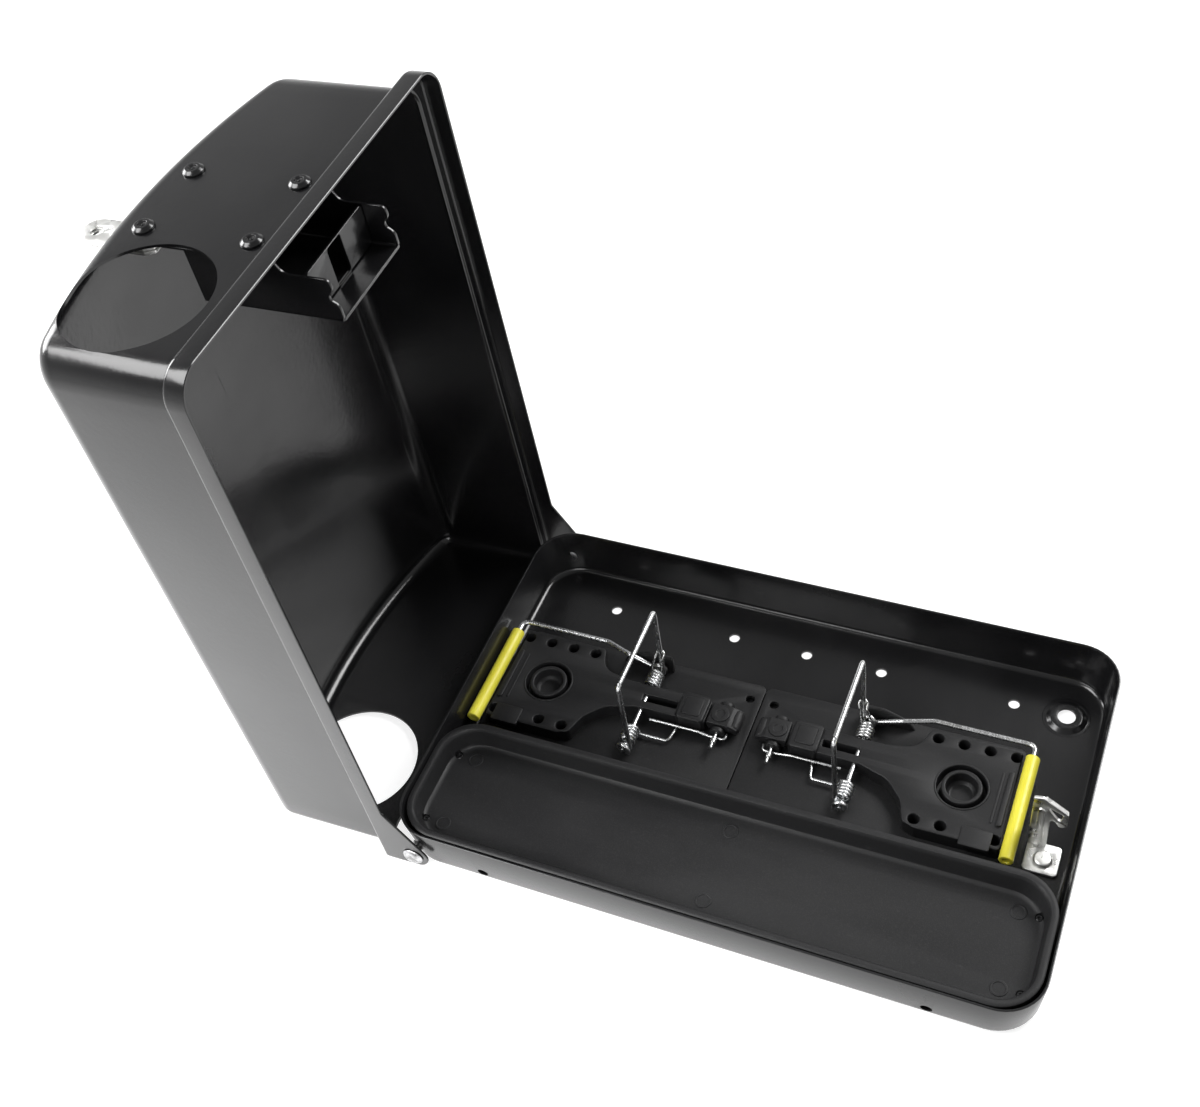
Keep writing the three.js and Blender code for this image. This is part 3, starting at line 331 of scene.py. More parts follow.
PAINT = black_paint()
PLASTIC = black_plastic()
WIRE = bright_wire()
ZINC = zinc_plate()
YELLOW = yellow_plastic()
RIVET = rivet_steel()


# ---- Mesh helpers ----

def fillet(points, radius, steps=5, closed=True):
    """Rounds the corners of a 2D or 3D polyline. radius is one number, or one for each point."""
    points = [Vector(p) for p in points]
    radii = radius if isinstance(radius, (list, tuple)) else [radius] * len(points)
    count = len(points)
    out = []
    for i, point in enumerate(points):
        if radii[i] <= 0 or (not closed and i in (0, count - 1)):
            out.append(point)
            continue
        before, after = points[i - 1] - point, points[(i + 1) % count] - point
        turn = math.pi - before.angle(after)
        if turn < 1e-4:
            out.append(point)
            continue
        cut = min(radii[i] * math.tan(turn / 2), 0.49 * before.length, 0.49 * after.length)
        start, end = point + before.normalized() * cut, point + after.normalized() * cut
        for k in range(steps + 1):
            t = k / steps
            # A circle's arc, blended from its tangents
            weight = math.cos(turn / 2)
            a, b, c = (1 - t) ** 2, 2 * t * (1 - t) * weight, t * t
            out.append((start * a + point * b + end * c) / (a + b + c))
    return out


def arc(center, radius, start, end, steps=16):
    angles = [math.radians(start + (end - start) * i / steps) for i in range(steps + 1)]
    return [Vector((center[0] + radius * math.cos(a), center[1] + radius * math.sin(a))) for a in angles]


def loft(rings, close_rings=True, cap_start=False, cap_end=False):
    """A bmesh skin through rings with the same number of points."""
    bm = bmesh.new()
    rows = [[bm.verts.new(p) for p in ring] for ring in rings]
    count = len(rings[0])
    last = count if close_rings else count - 1
    for low, high in zip(rows, rows[1:]):
        for i in range(last):
            j = (i + 1) % count
            bm.faces.new((low[i], low[j], high[j], high[i]))
    if cap_start:
        bm.faces.new(reversed(rows[0]))
    if cap_end:
        bm.faces.new(rows[-1])
    return bm


def tidy(bm):
    bmesh.ops.remove_doubles(bm, verts=bm.verts, dist=0.004)
    bmesh.ops.dissolve_degenerate(bm, edges=bm.edges, dist=0.002)
    bmesh.ops.recalc_face_normals(bm, faces=bm.faces)
    return bm


def moved(bm, matrix):
    bm.transform(matrix)
    return bm


def joined(*parts):
    total = bmesh.new()
    for bm in parts:
        mesh = bpy.data.meshes.new("part")
        bm.to_mesh(mesh)
        bm.free()
        total.from_mesh(mesh)
        bpy.data.meshes.remove(mesh)
    return total


def lathe(profile, steps=40):
    """Turns a profile of (radius, height) about Z; its ends lie on the axis, or it closes on itself."""
    rings = []
    for i in range(steps):
        angle = 2 * math.pi * i / steps
        rings.append([Vector((r * math.cos(angle), r * math.sin(angle), h)) for r, h in profile])
    bm = loft(rings + rings[:1], close_rings=False)
    return tidy(bm)


def tube(points, radius, sides=14):
    """A round wire along a list of points, with rounded-off ends."""
    points = [Vector(p) for p in points]
    tangents = []
    for i in range(len(points)):
        before, after = points[max(i - 1, 0)], points[min(i + 1, len(points) - 1)]
        tangents.append((after - before).normalized())
    side = tangents[0].orthogonal().normalized()
    rings = []
    for point, tangent in zip(points, tangents):
        side = (side - tangent * side.dot(tangent)).normalized()
        other = tangent.cross(side)
        rings.append((point, side, other, tangent))

    def ring(frame_at, scale, shift):
        point, side, other, tangent = frame_at
        centre = point + tangent * shift
        return [centre + (side * math.cos(a) + other * math.sin(a)) * radius * scale
                for a in (2 * math.pi * k / sides for k in range(sides))]

    rounding = ((0.5, 0), (0.9, 0.3), (1, 0.9))
    out = [ring(rings[0], scale, shift * radius * 0.6) for scale, shift in rounding]
    out += [ring(r, 1, 0) for r in rings[1:-1]]
    out += [ring(rings[-1], scale, -shift * radius * 0.6) for scale, shift in reversed(rounding)]
    return tidy(loft(out, cap_start=True, cap_end=True))


def plate(outline, z0, z1, holes=(), bevel=0.3):
    """A flat plate between two heights with softened edges, from a 2D outline and its holes."""
    curve = bpy.data.curves.new("plate", "CURVE")
    curve.dimensions = "2D"
    curve.fill_mode = "BOTH"
    curve.extrude = (z1 - z0) / 2 - bevel
    curve.bevel_depth = bevel
    curve.bevel_resolution = 2
    curve.offset = -bevel
    for ring in [outline, *holes]:
        spline = curve.splines.new("POLY")
        spline.use_cyclic_u = True
        spline.points.add(len(ring) - 1)
        for point, place in zip(spline.points, ring):
            point.co = (place[0], place[1], 0, 1)
    thing = bpy.data.objects.new("plate", curve)
    bpy.context.scene.collection.objects.link(thing)
    bpy.context.view_layer.update()
    mesh = bpy.data.meshes.new_from_object(thing.evaluated_get(bpy.context.evaluated_depsgraph_get()))
    bm = bmesh.new()
    bm.from_mesh(mesh)
    bm.transform(Matrix.Translation((0, 0, (z0 + z1) / 2)))
    bpy.data.objects.remove(thing)
    bpy.data.curves.remove(curve)
    bpy.data.meshes.remove(mesh)
    return tidy(bm)


def circle(x, y, radius, steps=24):
    angles = [2 * math.pi * i / steps for i in range(steps)]
    return [Vector((x + radius * math.cos(a), y + radius * math.sin(a))) for a in angles]


def make_object(name, bm, material, body, replaced=(), sharp=32):
    """Turns a bmesh in millimetres into an object in metres that rides on a body."""
    bm.transform(Matrix.Scale(MM, 4))
    mesh = bpy.data.meshes.new(name)
    bm.to_mesh(mesh)
    bm.free()
    mesh.materials.append(material)
    mesh.shade_smooth()
    mesh.set_sharp_from_angle(angle=math.radians(sharp))
    thing = bpy.data.objects.new(name, mesh)
    bpy.context.scene.collection.objects.link(thing)
    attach(thing, body)
    if replaced:
        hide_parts(*replaced)
    return thing


def cut(bm, *tools):
    """Cuts closed tools out of a closed bmesh."""
    def as_object(part):
        mesh = bpy.data.meshes.new("cut")
        part.to_mesh(mesh)
        part.free()
        thing = bpy.data.objects.new("cut", mesh)
        bpy.context.scene.collection.objects.link(thing)
        return thing
    body = as_object(bm)
    cutters = [as_object(tool) for tool in tools]
    for cutter in cutters:
        modifier = body.modifiers.new("cut", "BOOLEAN")
        modifier.operation = "DIFFERENCE"
        modifier.object = cutter
        modifier.solver = "EXACT"
    bpy.context.view_layer.update()
    mesh = bpy.data.meshes.new_from_object(body.evaluated_get(bpy.context.evaluated_depsgraph_get()))
    out = bmesh.new()
    out.from_mesh(mesh)
    for thing in (body, *cutters):
        data = thing.data
        bpy.data.objects.remove(thing)
        bpy.data.meshes.remove(data)
    bpy.data.meshes.remove(mesh)
    return out


def drum(radius, length, axis, centre, steps=40):
    """A plain closed cylinder, used to cut holes."""
    half = length / 2
    bm = lathe([(0, -half), (radius, -half), (radius, half), (0, half)], steps)
    turn = Vector((0, 0, 1)).rotation_difference(Vector(axis)).to_matrix().to_4x4()
    return moved(bm, Matrix.Translation(centre) @ turn)


def outline_rectangle(half_x, half_y, radius, along=1, corner_steps=10, centre=(0, 0)):
    """Points round a rounded rectangle, the same number for any size."""
    points = []
    cx, cy = centre
    corners_at = ((1, -1, -90), (1, 1, 0), (-1, 1, 90), (-1, -1, 180))
    for sx, sy, start in corners_at:
        middle = (cx + sx * (half_x - radius), cy + sy * (half_y - radius))
        points += arc(middle, radius, start, start + 90, corner_steps)
    dense = []
    for i, point in enumerate(points):
        after = points[(i + 1) % len(points)]
        dense.append(point)
        if i % (corner_steps + 1) == corner_steps:
            dense += [point.lerp(after, k / along) for k in range(1, along)]
    return dense


OPENED = (Matrix.Translation(PIVOT) @ Matrix.Rotation(-LID_OPEN, 4, "Y") @ Matrix.Translation(-PIVOT))


# ---- Base pan ----

def pan_ring(inset, z, along=24):
    lean = PAN_FLARE * (1 - z / RIM)
    side = inset + lean
    return [p.to_3d() + Vector((0, 0, z)) for p in outline_rectangle(
        HALF_LENGTH - side, HALF_WIDTH - side, max(PAN_CORNER - inset, 1), along)]


def base_pan():
    rings = []
    bend = PAN_BEND
    for i in range(7):
        a = math.radians(90 * i / 6)
        rings.append(pan_ring(bend * (1 - math.sin(a)), bend * (1 - math.cos(a))))
    rings += [pan_ring(0, RIM - 0.45), pan_ring(0.12, RIM - 0.12), pan_ring(0.45, RIM)]
    rings += [pan_ring(SHEET - 0.45, RIM), pan_ring(SHEET - 0.12, RIM - 0.12), pan_ring(SHEET, RIM - 0.45)]
    inner = bend - SHEET
    for i in range(7):
        a = math.radians(90 * (6 - i) / 6)
        rings.append(pan_ring(SHEET + inner * (1 - math.sin(a)), SHEET + inner * (1 - math.cos(a))))
    bm = tidy(loft(rings, cap_start=True, cap_end=True))
    inner_hole, outer_hole = FLOOR_HOLE_INNER, FLOOR_HOLE_OUTER
    tools = [drum(FLOOR_HOLE_RADIUS, 10, (0, 0, 1), (x, FLOOR_HOLE_ROW, 0))
             for x in (-outer_hole, -inner_hole, 0, inner_hole, outer_hole)]
    tools += [drum(DRAIN_RADIUS, 14, (0, 1, 0), (x, 1 - HALF_WIDTH, DRAIN_HEIGHT))
              for x in (-outer_hole, outer_hole)]
    tools.append(drum(DIMPLE_RADIUS, 8, (0, 0, 1), ANCHOR_PLACE, 48))
    return cut(bm, *tools)


def anchor_dimple():
    """The raised dish round the fixing hole near the lock end."""
    profile = fillet(
        [(4.2, 1.6), (6.5, 1.6), (9.2, 0), (11.2, 0), (11.2, SHEET), (9.6, SHEET), (7.4, 2.8), (4.2, 2.8)],
        [0.3, 1.2, 1.2, 0, 0, 1.4, 1.4, 0.4])
    dish = lathe([tuple(p) for p in profile] + [tuple(profile[0])], 56)
    return moved(dish, Matrix.Translation(ANCHOR_PLACE))


make_object("pan_shell", joined(base_pan(), anchor_dimple()), PAINT, "base", ["base_pan"])


# ---- Lid ----

KEY_X = BODY_END - SHEET - 7
KEY_Y = 81 - HALF_WIDTH
ROOF_RADIUS = (BODY_HALF_WIDTH ** 2 + CROWN ** 2) / (2 * CROWN)


def roof_at(y):
    return EAVE + CROWN - ROOF_RADIUS + math.sqrt(ROOF_RADIUS ** 2 - y * y)


def lid_outline(inset, along=30):
    """Plan of the lid's body, with a tighter corner at the hinge end."""
    points = []
    for sx, sy, start in ((1, -1, -90), (1, 1, 0), (-1, 1, 90), (-1, -1, 180)):
        radius = max((LID_CORNER if sx > 0 else HINGE_END_CORNER) - inset, 0.8)
        x = (BODY_END - inset - radius) if sx > 0 else (BODY_START + inset + radius)
        points += arc((x, sy * (BODY_HALF_WIDTH - inset - radius)), radius, start, start + 90, 10)
    dense = []
    for i, point in enumerate(points):
        after = points[(i + 1) % len(points)]
        dense.append(point)
        if i % 11 == 10:
            dense += [point.lerp(after, k / along) for k in range(1, along)]
    return dense


def lid_body():
    """Walls, bent eaves and crowned roof as one sheet with thickness."""
    def ring(inset, height):
        return [Vector((p.x, p.y, height(p))) for p in lid_outline(inset)]

    def bend_rings(skin):
        """Rings from the wall's top over the bend, on the outer (0) or inner skin."""
        rings = []
        for i in range(9):
            a = math.radians(90 * i / 8)
            radius = EAVE_BEND - skin
            inset = skin + radius * (1 - math.cos(a))
            drop = radius * (1 - math.sin(a)) + skin
            rings.append(ring(inset, lambda p, drop=drop: roof_at(p.y) - drop))
        return rings

    def roof(skin):
        """The crowned sheet inside the bend, as ever smaller rings."""
        rows = (3, 8, 16, 30, 48, 66, 80, 86.3)
        return [ring(EAVE_BEND + extra, lambda p: roof_at(p.y) - skin) for extra in rows]

    mid_wall = 44
    outer = [ring(0, foot_at), ring(0, lambda p: mid_wall)] + bend_rings(0) + roof(0)
    inner = [ring(SHEET, foot_at), ring(SHEET, lambda p: mid_wall)] + bend_rings(SHEET) + roof(SHEET)
    bm = loft(inner[::-1] + outer, cap_start=True, cap_end=True)
    return tidy(bm)


def foot_at(p):
    """Height of the body wall's lower edge: cut up over the pan's rim at the hinge end."""
    if p.x < BODY_START + 8:
        reach = math.hypot(HALF_LENGTH + PIVOT.x, RIM - PIVOT.z) + 0.8
        return PIVOT.z + math.sqrt(max(reach ** 2 - (PIVOT.x - p.x) ** 2, 0)) if abs(p.y) < 87 else SEAT + 2
    return SEAT + 3


def ear_low(x):
    """Height of the skirt's lower edge, which drops into the ear round the pivot."""
    low = RIM - SKIRT_DROP
    dx = x - PIVOT.x
    if x >= EAR_END:
        return low
    reach = math.hypot(EAR_END - PIVOT.x, low - PIVOT.z)
    tangent = math.atan2(low - PIVOT.z, EAR_END - PIVOT.x) - math.acos(EAR_RADIUS / reach)
    touch = Vector((math.cos(tangent), math.sin(tangent))) * EAR_RADIUS
    if dx >= touch.x:
        t = (dx - touch.x) / (EAR_END - PIVOT.x - touch.x)
        return PIVOT.z + touch.y + t * (low - PIVOT.z - touch.y)
    return PIVOT.z - math.sqrt(max(EAR_RADIUS ** 2 - dx * dx, 0))


def skirt_path():
    """Plan points with their outward direction, X and place on the body wall, round the three sides."""
    start = PIVOT.x - EAR_RADIUS
    xs = [start + 2 * EAR_RADIUS * (1 - math.cos(math.pi * i / 16)) / 2 for i in range(17)]
    xs += [xs[-1] + (EAR_END - xs[-1]) * i / 8 for i in range(1, 9)]
    free_end = HALF_LENGTH + OVERHANG
    radius = SKIRT_CORNER - SKIRT_OUT
    corner = free_end - radius
    xs += [EAR_END + 0.4, EAR_END + 2] + [EAR_END + 2 + (corner - EAR_END - 2) * i / 12 for i in range(1, 12)]
    near = [(Vector((x, -HALF_WIDTH)), Vector((0, -1)), x, Vector((x, -BODY_HALF_WIDTH))) for x in xs]
    turn = []
    for i in range(13):
        a = math.radians(-90 + 90 * i / 12)
        out = Vector((math.cos(a), math.sin(a)))
        wall = Vector((BODY_END - LID_CORNER, LID_CORNER - BODY_HALF_WIDTH)) + out * LID_CORNER
        turn.append((Vector((corner, radius - HALF_WIDTH)) + out * radius, out, corner, wall))
    near += turn
    end = HALF_WIDTH - radius
    for i in range(1, 6):
        y = -end * (1 - i / 5)
        near.append((Vector((free_end, y)), Vector((1, 0)), corner, Vector((BODY_END, y))))
    far = [(Vector((p.x, -p.y)), Vector((o.x, -o.y)), x, Vector((w.x, -w.y)))
           for p, o, x, w in reversed(near[:-1])]
    return near + far


def skirt():
    """The offset rim: from the wall out over the pan's rim, then down outside it."""
    top = SEAT + 3
    inside = [(-BODY_IN, top), (-BODY_IN, SEAT + SHEET), (SKIRT_OUT, SEAT + SHEET), (SKIRT_OUT, 0)]
    rings = []
    for place, out, x, wall in skirt_path():
        low = ear_low(x)
        outer = fillet([(a, b if b else low) for a, b in inside], [0, 1.4, 2.2, 0], 5, closed=False)
        inner = fillet([(-BODY_IN - SHEET, top), (-BODY_IN - SHEET, SEAT), (SKIRT_OUT - SHEET, SEAT),
                        (SKIRT_OUT - SHEET, low)], [0, 2.6, 1.0, 0], 5, closed=False)
        edge = [Vector((SKIRT_OUT - 0.25, low - 0.001)), Vector((SKIRT_OUT - SHEET + 0.25, low - 0.001))]
        outer[-1] = Vector((SKIRT_OUT, low + 0.25))
        inner[-1] = Vector((SKIRT_OUT - SHEET, low + 0.25))
        profile = outer + edge + inner[::-1]
        ring = []
        for a, b in profile:
            point = place + out * a if a > 0 else wall + out * (a + BODY_IN)
            ring.append(point.to_3d() + Vector((0, 0, b)))
        rings.append(ring)
    return tidy(loft(rings, cap_start=True, cap_end=True))


def lid_shell():
    bm = lid_body()
    entries = [drum(ENTRY_RADIUS, 14, (1, 0, 0), (x, ENTRY_Y, ENTRY_Z), 96)
               for x in (BODY_START + 1, BODY_END - 1)]
    slot = plate(outline_rectangle(2.1, 8, 1.9, centre=(KEY_X, KEY_Y)), EAVE - 5, EAVE + 30)
    bm = cut(bm, *entries, slot)
    return joined(bm, skirt())


make_object("lid_cover", moved(lid_shell(), OPENED), PAINT, "lid", ["lid_shell"], sharp=28)


# ---- Sheet metal helpers ----

def upright_plate(outline, y0, y1, holes=(), bevel=0.25):
    """A plate drawn in X and Z, between two places along Y."""
    return moved(plate(outline, -y1, -y0, holes, bevel), Matrix.Rotation(math.pi / 2, 4, "X"))


def end_plate(outline, x0, x1, holes=(), bevel=0.25):
    """A plate drawn in Y and Z, between two places along X."""
    turn = Matrix(((0, 0, 1, 0), (1, 0, 0, 0), (0, 1, 0, 0), (0, 0, 0, 1)))
    return moved(plate(outline, x0, x1, holes, bevel), turn)


def turned(profile, axis, place, steps=36):
    """A lathe shape turned to lie along an axis."""
    turn = Vector((0, 0, 1)).rotation_difference(Vector(axis)).to_matrix().to_4x4()
    return moved(lathe([tuple(p) for p in profile], steps), Matrix.Translation(place) @ turn)


def rectangle(x0, x1, y0, y1, radius, steps=5):
    return fillet([(x0, y0), (x1, y0), (x1, y1), (x0, y1)], radius, steps)


# ---- Hinge rivets ----

def hinge_rivet(side):
    head = HALF_WIDTH + SKIRT_OUT + 0.2
    tail = HALF_WIDTH - SHEET - 2.4
    profile = fillet([(0, tail - 1), (3.2, tail - 1), (3.2, tail), (2.4, tail), (2.4, head), (5, head),
                      (5, head + 0.5), (3.6, head + 1.7), (0, head + 1.8)],
                     [0, 0.6, 0.2, 0, 0, 0.2, 0.5, 2, 0])
    return turned(profile, (0, side, 0), (PIVOT.x, 0, PIVOT.z))


for side, name in ((-1, "near"), (1, "far")):
    make_object(f"hinge_pin_{name}", hinge_rivet(side), RIVET, "base", [f"hinge_rivet_{name}"])


# ---- Lock housing, its plate and its rivets ----

LOCK_START = 123.8
LOCK_INNER_END = 143.2
LOCK_LOW = RIM - 21.5
LOCK_TOP = RIM + 42
LOCK_END = BODY_END - SHEET - 0.4
LOCK_HALF = 23
RIVET_PLACES = [(y, z) for z in (12, 61.5) for y in (-18.25, 18.25)]


def lock_cheek(y0, y1):
    low, wall = LOCK_LOW, LOCK_INNER_END
    outline = fillet(
        [(LOCK_START, LOCK_TOP), (LOCK_START, low), (131, low), (134.2, low + 4.6), (138.5, low + 0.6),
         (wall, low + 1.2), (wall, RIM - 1), (LOCK_END, RIM + 4), (LOCK_END, LOCK_TOP)],
        [0, 2.2, 3.2, 2.6, 3.5, 3, 4, 3, 0])
    return upright_plate(outline, y0, y1)


def lock_housing():
    low = LOCK_LOW
    web = end_plate(rectangle(-LOCK_HALF, LOCK_HALF, low, LOCK_TOP, 1), LOCK_START, LOCK_START + SHEET)
    tabs = fillet([(-25, RIM + 4), (25, RIM + 4), (25, RIM + 69), (-25, RIM + 69)], [2, 2, 7, 7])
    pad = end_plate(tabs, LOCK_END - SHEET, LOCK_END)
    bends = [turned([(0, low + 1), (SHEET, low + 1), (SHEET, RIM + 41.7), (0, RIM + 41.7)], (0, 0, 1),
                    (LOCK_START + SHEET, side * (LOCK_HALF - SHEET), 0), 20) for side in (-1, 1)]
    return joined(lock_cheek(-LOCK_HALF, SHEET - LOCK_HALF), lock_cheek(LOCK_HALF - SHEET, LOCK_HALF),
                  web, pad, *bends)


def lock_plate():
    level = RIM - 9
    half = LOCK_HALF - SHEET - 0.4
    slot = rectangle(125.6, 142.6, -6, 4, 1.2)
    outline = rectangle(LOCK_START + SHEET + 0.4, LOCK_INNER_END, -half, half, 1.5)
    return plate(outline, level - SHEET, level, [slot])


make_object("lock_box", moved(lock_housing(), OPENED), PAINT, "lid", ["lock_housing"])
make_object("lock_slot_plate", moved(lock_plate(), OPENED), PAINT, "lid", ["lock_plate"])


def wall_rivet(y, z):
    outer = BODY_END + 0.1
    inner = LOCK_END - SHEET - 0.4
    profile = fillet([(0, inner - 1.2), (3.1, inner - 1.2), (3.1, inner), (2.2, inner), (2.2, outer),
                      (4.6, outer), (4.5, outer + 0.8), (3.1, outer + 1.9), (1.9, outer + 1.9),
                      (1.6, outer + 1.1),
                      (0.8, outer + 1.1), (0.6, outer + 1.6), (0, outer + 1.6)],
                     [0, 0.5, 0.2, 0, 0, 0.1, 0.5, 0.5, 0.2, 0.2, 0.1, 0.2, 0])
    return turned(profile, (1, 0, 0), (0, y, RIM + z))


for index, (y, z) in enumerate(RIVET_PLACES):
    rivet = moved(wall_rivet(y, z), OPENED)
    make_object(f"lid_rivet_{index + 1}", rivet, PAINT, "lid", [f"wall_rivet_{index + 1}"])


# ---- Key ----

def key():
    """A strip folded double, with a round eye at the fold and a pointed foot."""
    top, foot = roof_at(KEY_Y) + 18, roof_at(KEY_Y) - 20
    half = 7.5
    eye_at = top - half
    outline = fillet([(-half, foot + 4), (-4.5, foot), (half, foot), (half, eye_at)], [1, 1, 1.5, 0])
    outline += arc((0, eye_at), half, 0, 180, 24)
    outline = [(p[0] + KEY_Y, p[1]) for p in outline]
    eye = circle(KEY_Y, eye_at, 2.8)
    layers = [end_plate(outline, KEY_X + a, KEY_X + b, [eye], 0.3) for a, b in ((-1.6, -0.12), (0.12, 1.6))]
    rib_outline = rectangle(KEY_Y - 1.6, KEY_Y + 1.6, foot + 3, eye_at - 5, 1.5)
    rib = end_plate(rib_outline, KEY_X - 1.9, KEY_X - 1.3, (), 0.25)
    return joined(*layers, rib)


make_object("key_strip", moved(key(), OPENED), ZINC, "key", ["lock_key"])


# ---- Spring latch ----

LATCH_LOW, LATCH_HIGH = corners("latch_spring")


def latch():
    start, base = LATCH_LOW.x, LATCH_LOW.z
    y = LATCH_HIGH.y - 1.5
    leg, tip = start + 8.2, LATCH_HIGH.x
    leaf = fillet([(start, base), (leg, base), (leg, 28), (tip - 3, 21), (tip, 23), (tip, 32.6),
                   (start + 4.4, 41), (start, 40)], [0, 0, 1.6, 1.4, 1, 1.6, 2, 1])
    loop = fillet([(leg - 2, 34.8), (leg + 1, 30), (tip - 3.2, 25.2), (tip - 2, 31.4)], [0.6, 1, 0.8, 1])
    fold = [(leg - 0.5, y + 1.6, 28.4), (tip - 3, y + 1.9, 21.8), (tip - 0.6, y + 1.9, 23.4),
            (tip - 0.6, y + 1.9, 32), (start + 5, y + 1.6, 40.2)]
    folded_edge = tube(fillet(fold, 1.6, 4, closed=False), 0.55, 10)
    foot = plate(rectangle(start, tip, y - 14, y + 1.5, 2), base, base + 1.5, [circle(leg, y - 7, 2.7)], 0.35)
    rib = upright_plate(rectangle(start + 2.6, start + 5.6, base + 3, 33, 1.4), y - 0.5, y + 0.3, (), 0.25)
    return joined(upright_plate(leaf, y, y + 1.5, [loop], 0.35), folded_edge, foot, rib)


def latch_rivet():
    low, high = corners("latch_rivet")
    profile = fillet([(0, low.z), (2.4, low.z), (2.4, high.z - 1.7), (4.4, high.z - 1.7), (3.9, high.z - 0.4),
                      (0, high.z)], [0, 0, 0, 0.2, 1.4, 0])
    return turned(profile, (0, 0, 1), ((low.x + high.x) / 2, (low.y + high.y) / 2, 0))


make_object("latch_leaf", latch(), ZINC, "base", ["latch_spring"])
make_object("latch_pin", latch_rivet(), ZINC, "base", ["latch_rivet"])


# ---- Bait tray ----

TRAY_LOW, TRAY_HIGH = corners("bait_tray")
TRAY_MIDDLE = (TRAY_LOW.y + TRAY_HIGH.y) / 2
TRAY_FLOOR = 14
TRAY_SCREW_X = 139.5
TRAY_SCREW_SIDE = 18.5
TRAY_SCREWS = [(end * TRAY_SCREW_X, TRAY_MIDDLE + side * TRAY_SCREW_SIDE)
               for end in (-1, 1) for side in (-1, 1)]
TRAY_DRAFT = 4.4
PIP_INWARD = 9


def tray_ring(inset, z):
    lean = TRAY_DRAFT * (TRAY_HIGH.z - z) / (TRAY_HIGH.z - TRAY_LOW.z)
    side = inset + lean
    half_x, half_y = TRAY_HIGH.x, (TRAY_HIGH.y - TRAY_LOW.y) / 2
    corner = max(PAN_CORNER - inset, 2)
    ring = outline_rectangle(half_x - side, half_y - side, corner, 12, centre=(0, TRAY_MIDDLE))
    return [Vector((p.x, p.y, z)) for p in ring]


def bait_tray():
    top, low = TRAY_HIGH.z, TRAY_LOW.z
    rings = [tray_ring(1.2, low), tray_ring(0.2, low + 0.8), tray_ring(0, low + 2), tray_ring(0, top - 2.4)]
    rings += [tray_ring(0.05, top - 1.2), tray_ring(0.4, top - 0.4), tray_ring(1.1, top - 0.02)]
    rings += [tray_ring(2.6, top), tray_ring(3.4, top - 0.3), tray_ring(3.9, top - 1.2)]
    rings += [tray_ring(4.0, top - 2.6), tray_ring(3.4, TRAY_FLOOR + 2.2), tray_ring(3.6, TRAY_FLOOR + 0.9),
              tray_ring(4.4, TRAY_FLOOR + 0.2), tray_ring(5.8, TRAY_FLOOR)]
    bm = tidy(loft(rings, cap_start=True, cap_end=True))
    tools = [drum(2, 3, (0, 0, 1), (x, y, TRAY_FLOOR + 0.6), 24) for x, y in TRAY_SCREWS]
    tools.append(drum(4.3, 12, (0, 1, 0), (PIVOT.x, TRAY_LOW.y - 1.5, PIVOT.z), 32))
    pips = []
    pip_places = [(x - math.copysign(PIP_INWARD, x), y) for x, y in TRAY_SCREWS]
    pip_places += [(0, TRAY_MIDDLE + side * TRAY_SCREW_SIDE) for side in (-1, 1)]
    for x, y in pip_places:
        ring = rectangle(2.7, 3.8, TRAY_FLOOR - 0.3, TRAY_FLOOR + 0.3, 0.25, 3)
        pips.append(turned([*ring, ring[0]], (0, 0, 1), (x, y, 0), 28))
    return joined(cut(bm, *tools), *pips)


def tray_screw(x, y):
    profile = fillet([(0, 12.4), (1.9, 12.4), (1.9, TRAY_FLOOR - 0.5), (1.5, TRAY_FLOOR - 0.1),
                      (0.7, TRAY_FLOOR - 0.1), (0.5, TRAY_FLOOR - 0.8), (0, TRAY_FLOOR - 0.8)],
                     [0, 0, 0.3, 0.2, 0.1, 0.1, 0])
    return turned(profile, (0, 0, 1), (x, y, 0), 20)


make_object("bait_trough", bait_tray(), PLASTIC, "base", ["bait_tray"])
for index, (x, y) in enumerate(TRAY_SCREWS):
    make_object(f"tray_fixing_{index + 1}", tray_screw(x, y), PAINT, "base", [f"tray_screw_{index + 1}"])


# ---- Snap traps: u runs outwards from the seam between the two, v across the pan ----

SEAM_X = 138.4 - HALF_LENGTH
TRAP_Y = 12
TRAP_LENGTH = 127.6
DECK_BASE = 1.6
DECK_TOP = 4
DECK_HALF = 33.5
BLOCK_TOP = 12
BLOCK_HALF = 27.5
PEG_RADIUS = 2.7
PEG_SPACING = 12.2
PEG_SIDE = 22.9
ARM_SIDE = 31.2
FIN_MIDDLE = BLOCK_HALF + 1.9
SPRING_TURNS = 5
SPRING_PITCH = 1.62
ROD_RADIUS = 0.7
NECK = 5.5
CUP_AT = 104.4
AXLE_AT = 54
AXLE_Z = 9.6
BAIL_HALF = 23.4
PEDAL_AT = 14
GRIP_AT = 131.5
WIRE_RADIUS = 1.25


def casting_plan():
    near, far = NECK - 7, NECK + 7
    return fillet(
        [(21, near), (56, near), (71, near - 4.5), (79.5, near - 13.5), (83, 2 - BLOCK_HALF),
         (89, -BLOCK_HALF), (TRAP_LENGTH, -BLOCK_HALF), (TRAP_LENGTH, BLOCK_HALF), (84, BLOCK_HALF),
         (80, far + 3), (66, far),
         (21, far)],
        [1.5, 12, 12, 10, 3, 3, 1.5, 1.5, 2.5, 9, 16, 1.5], 6)


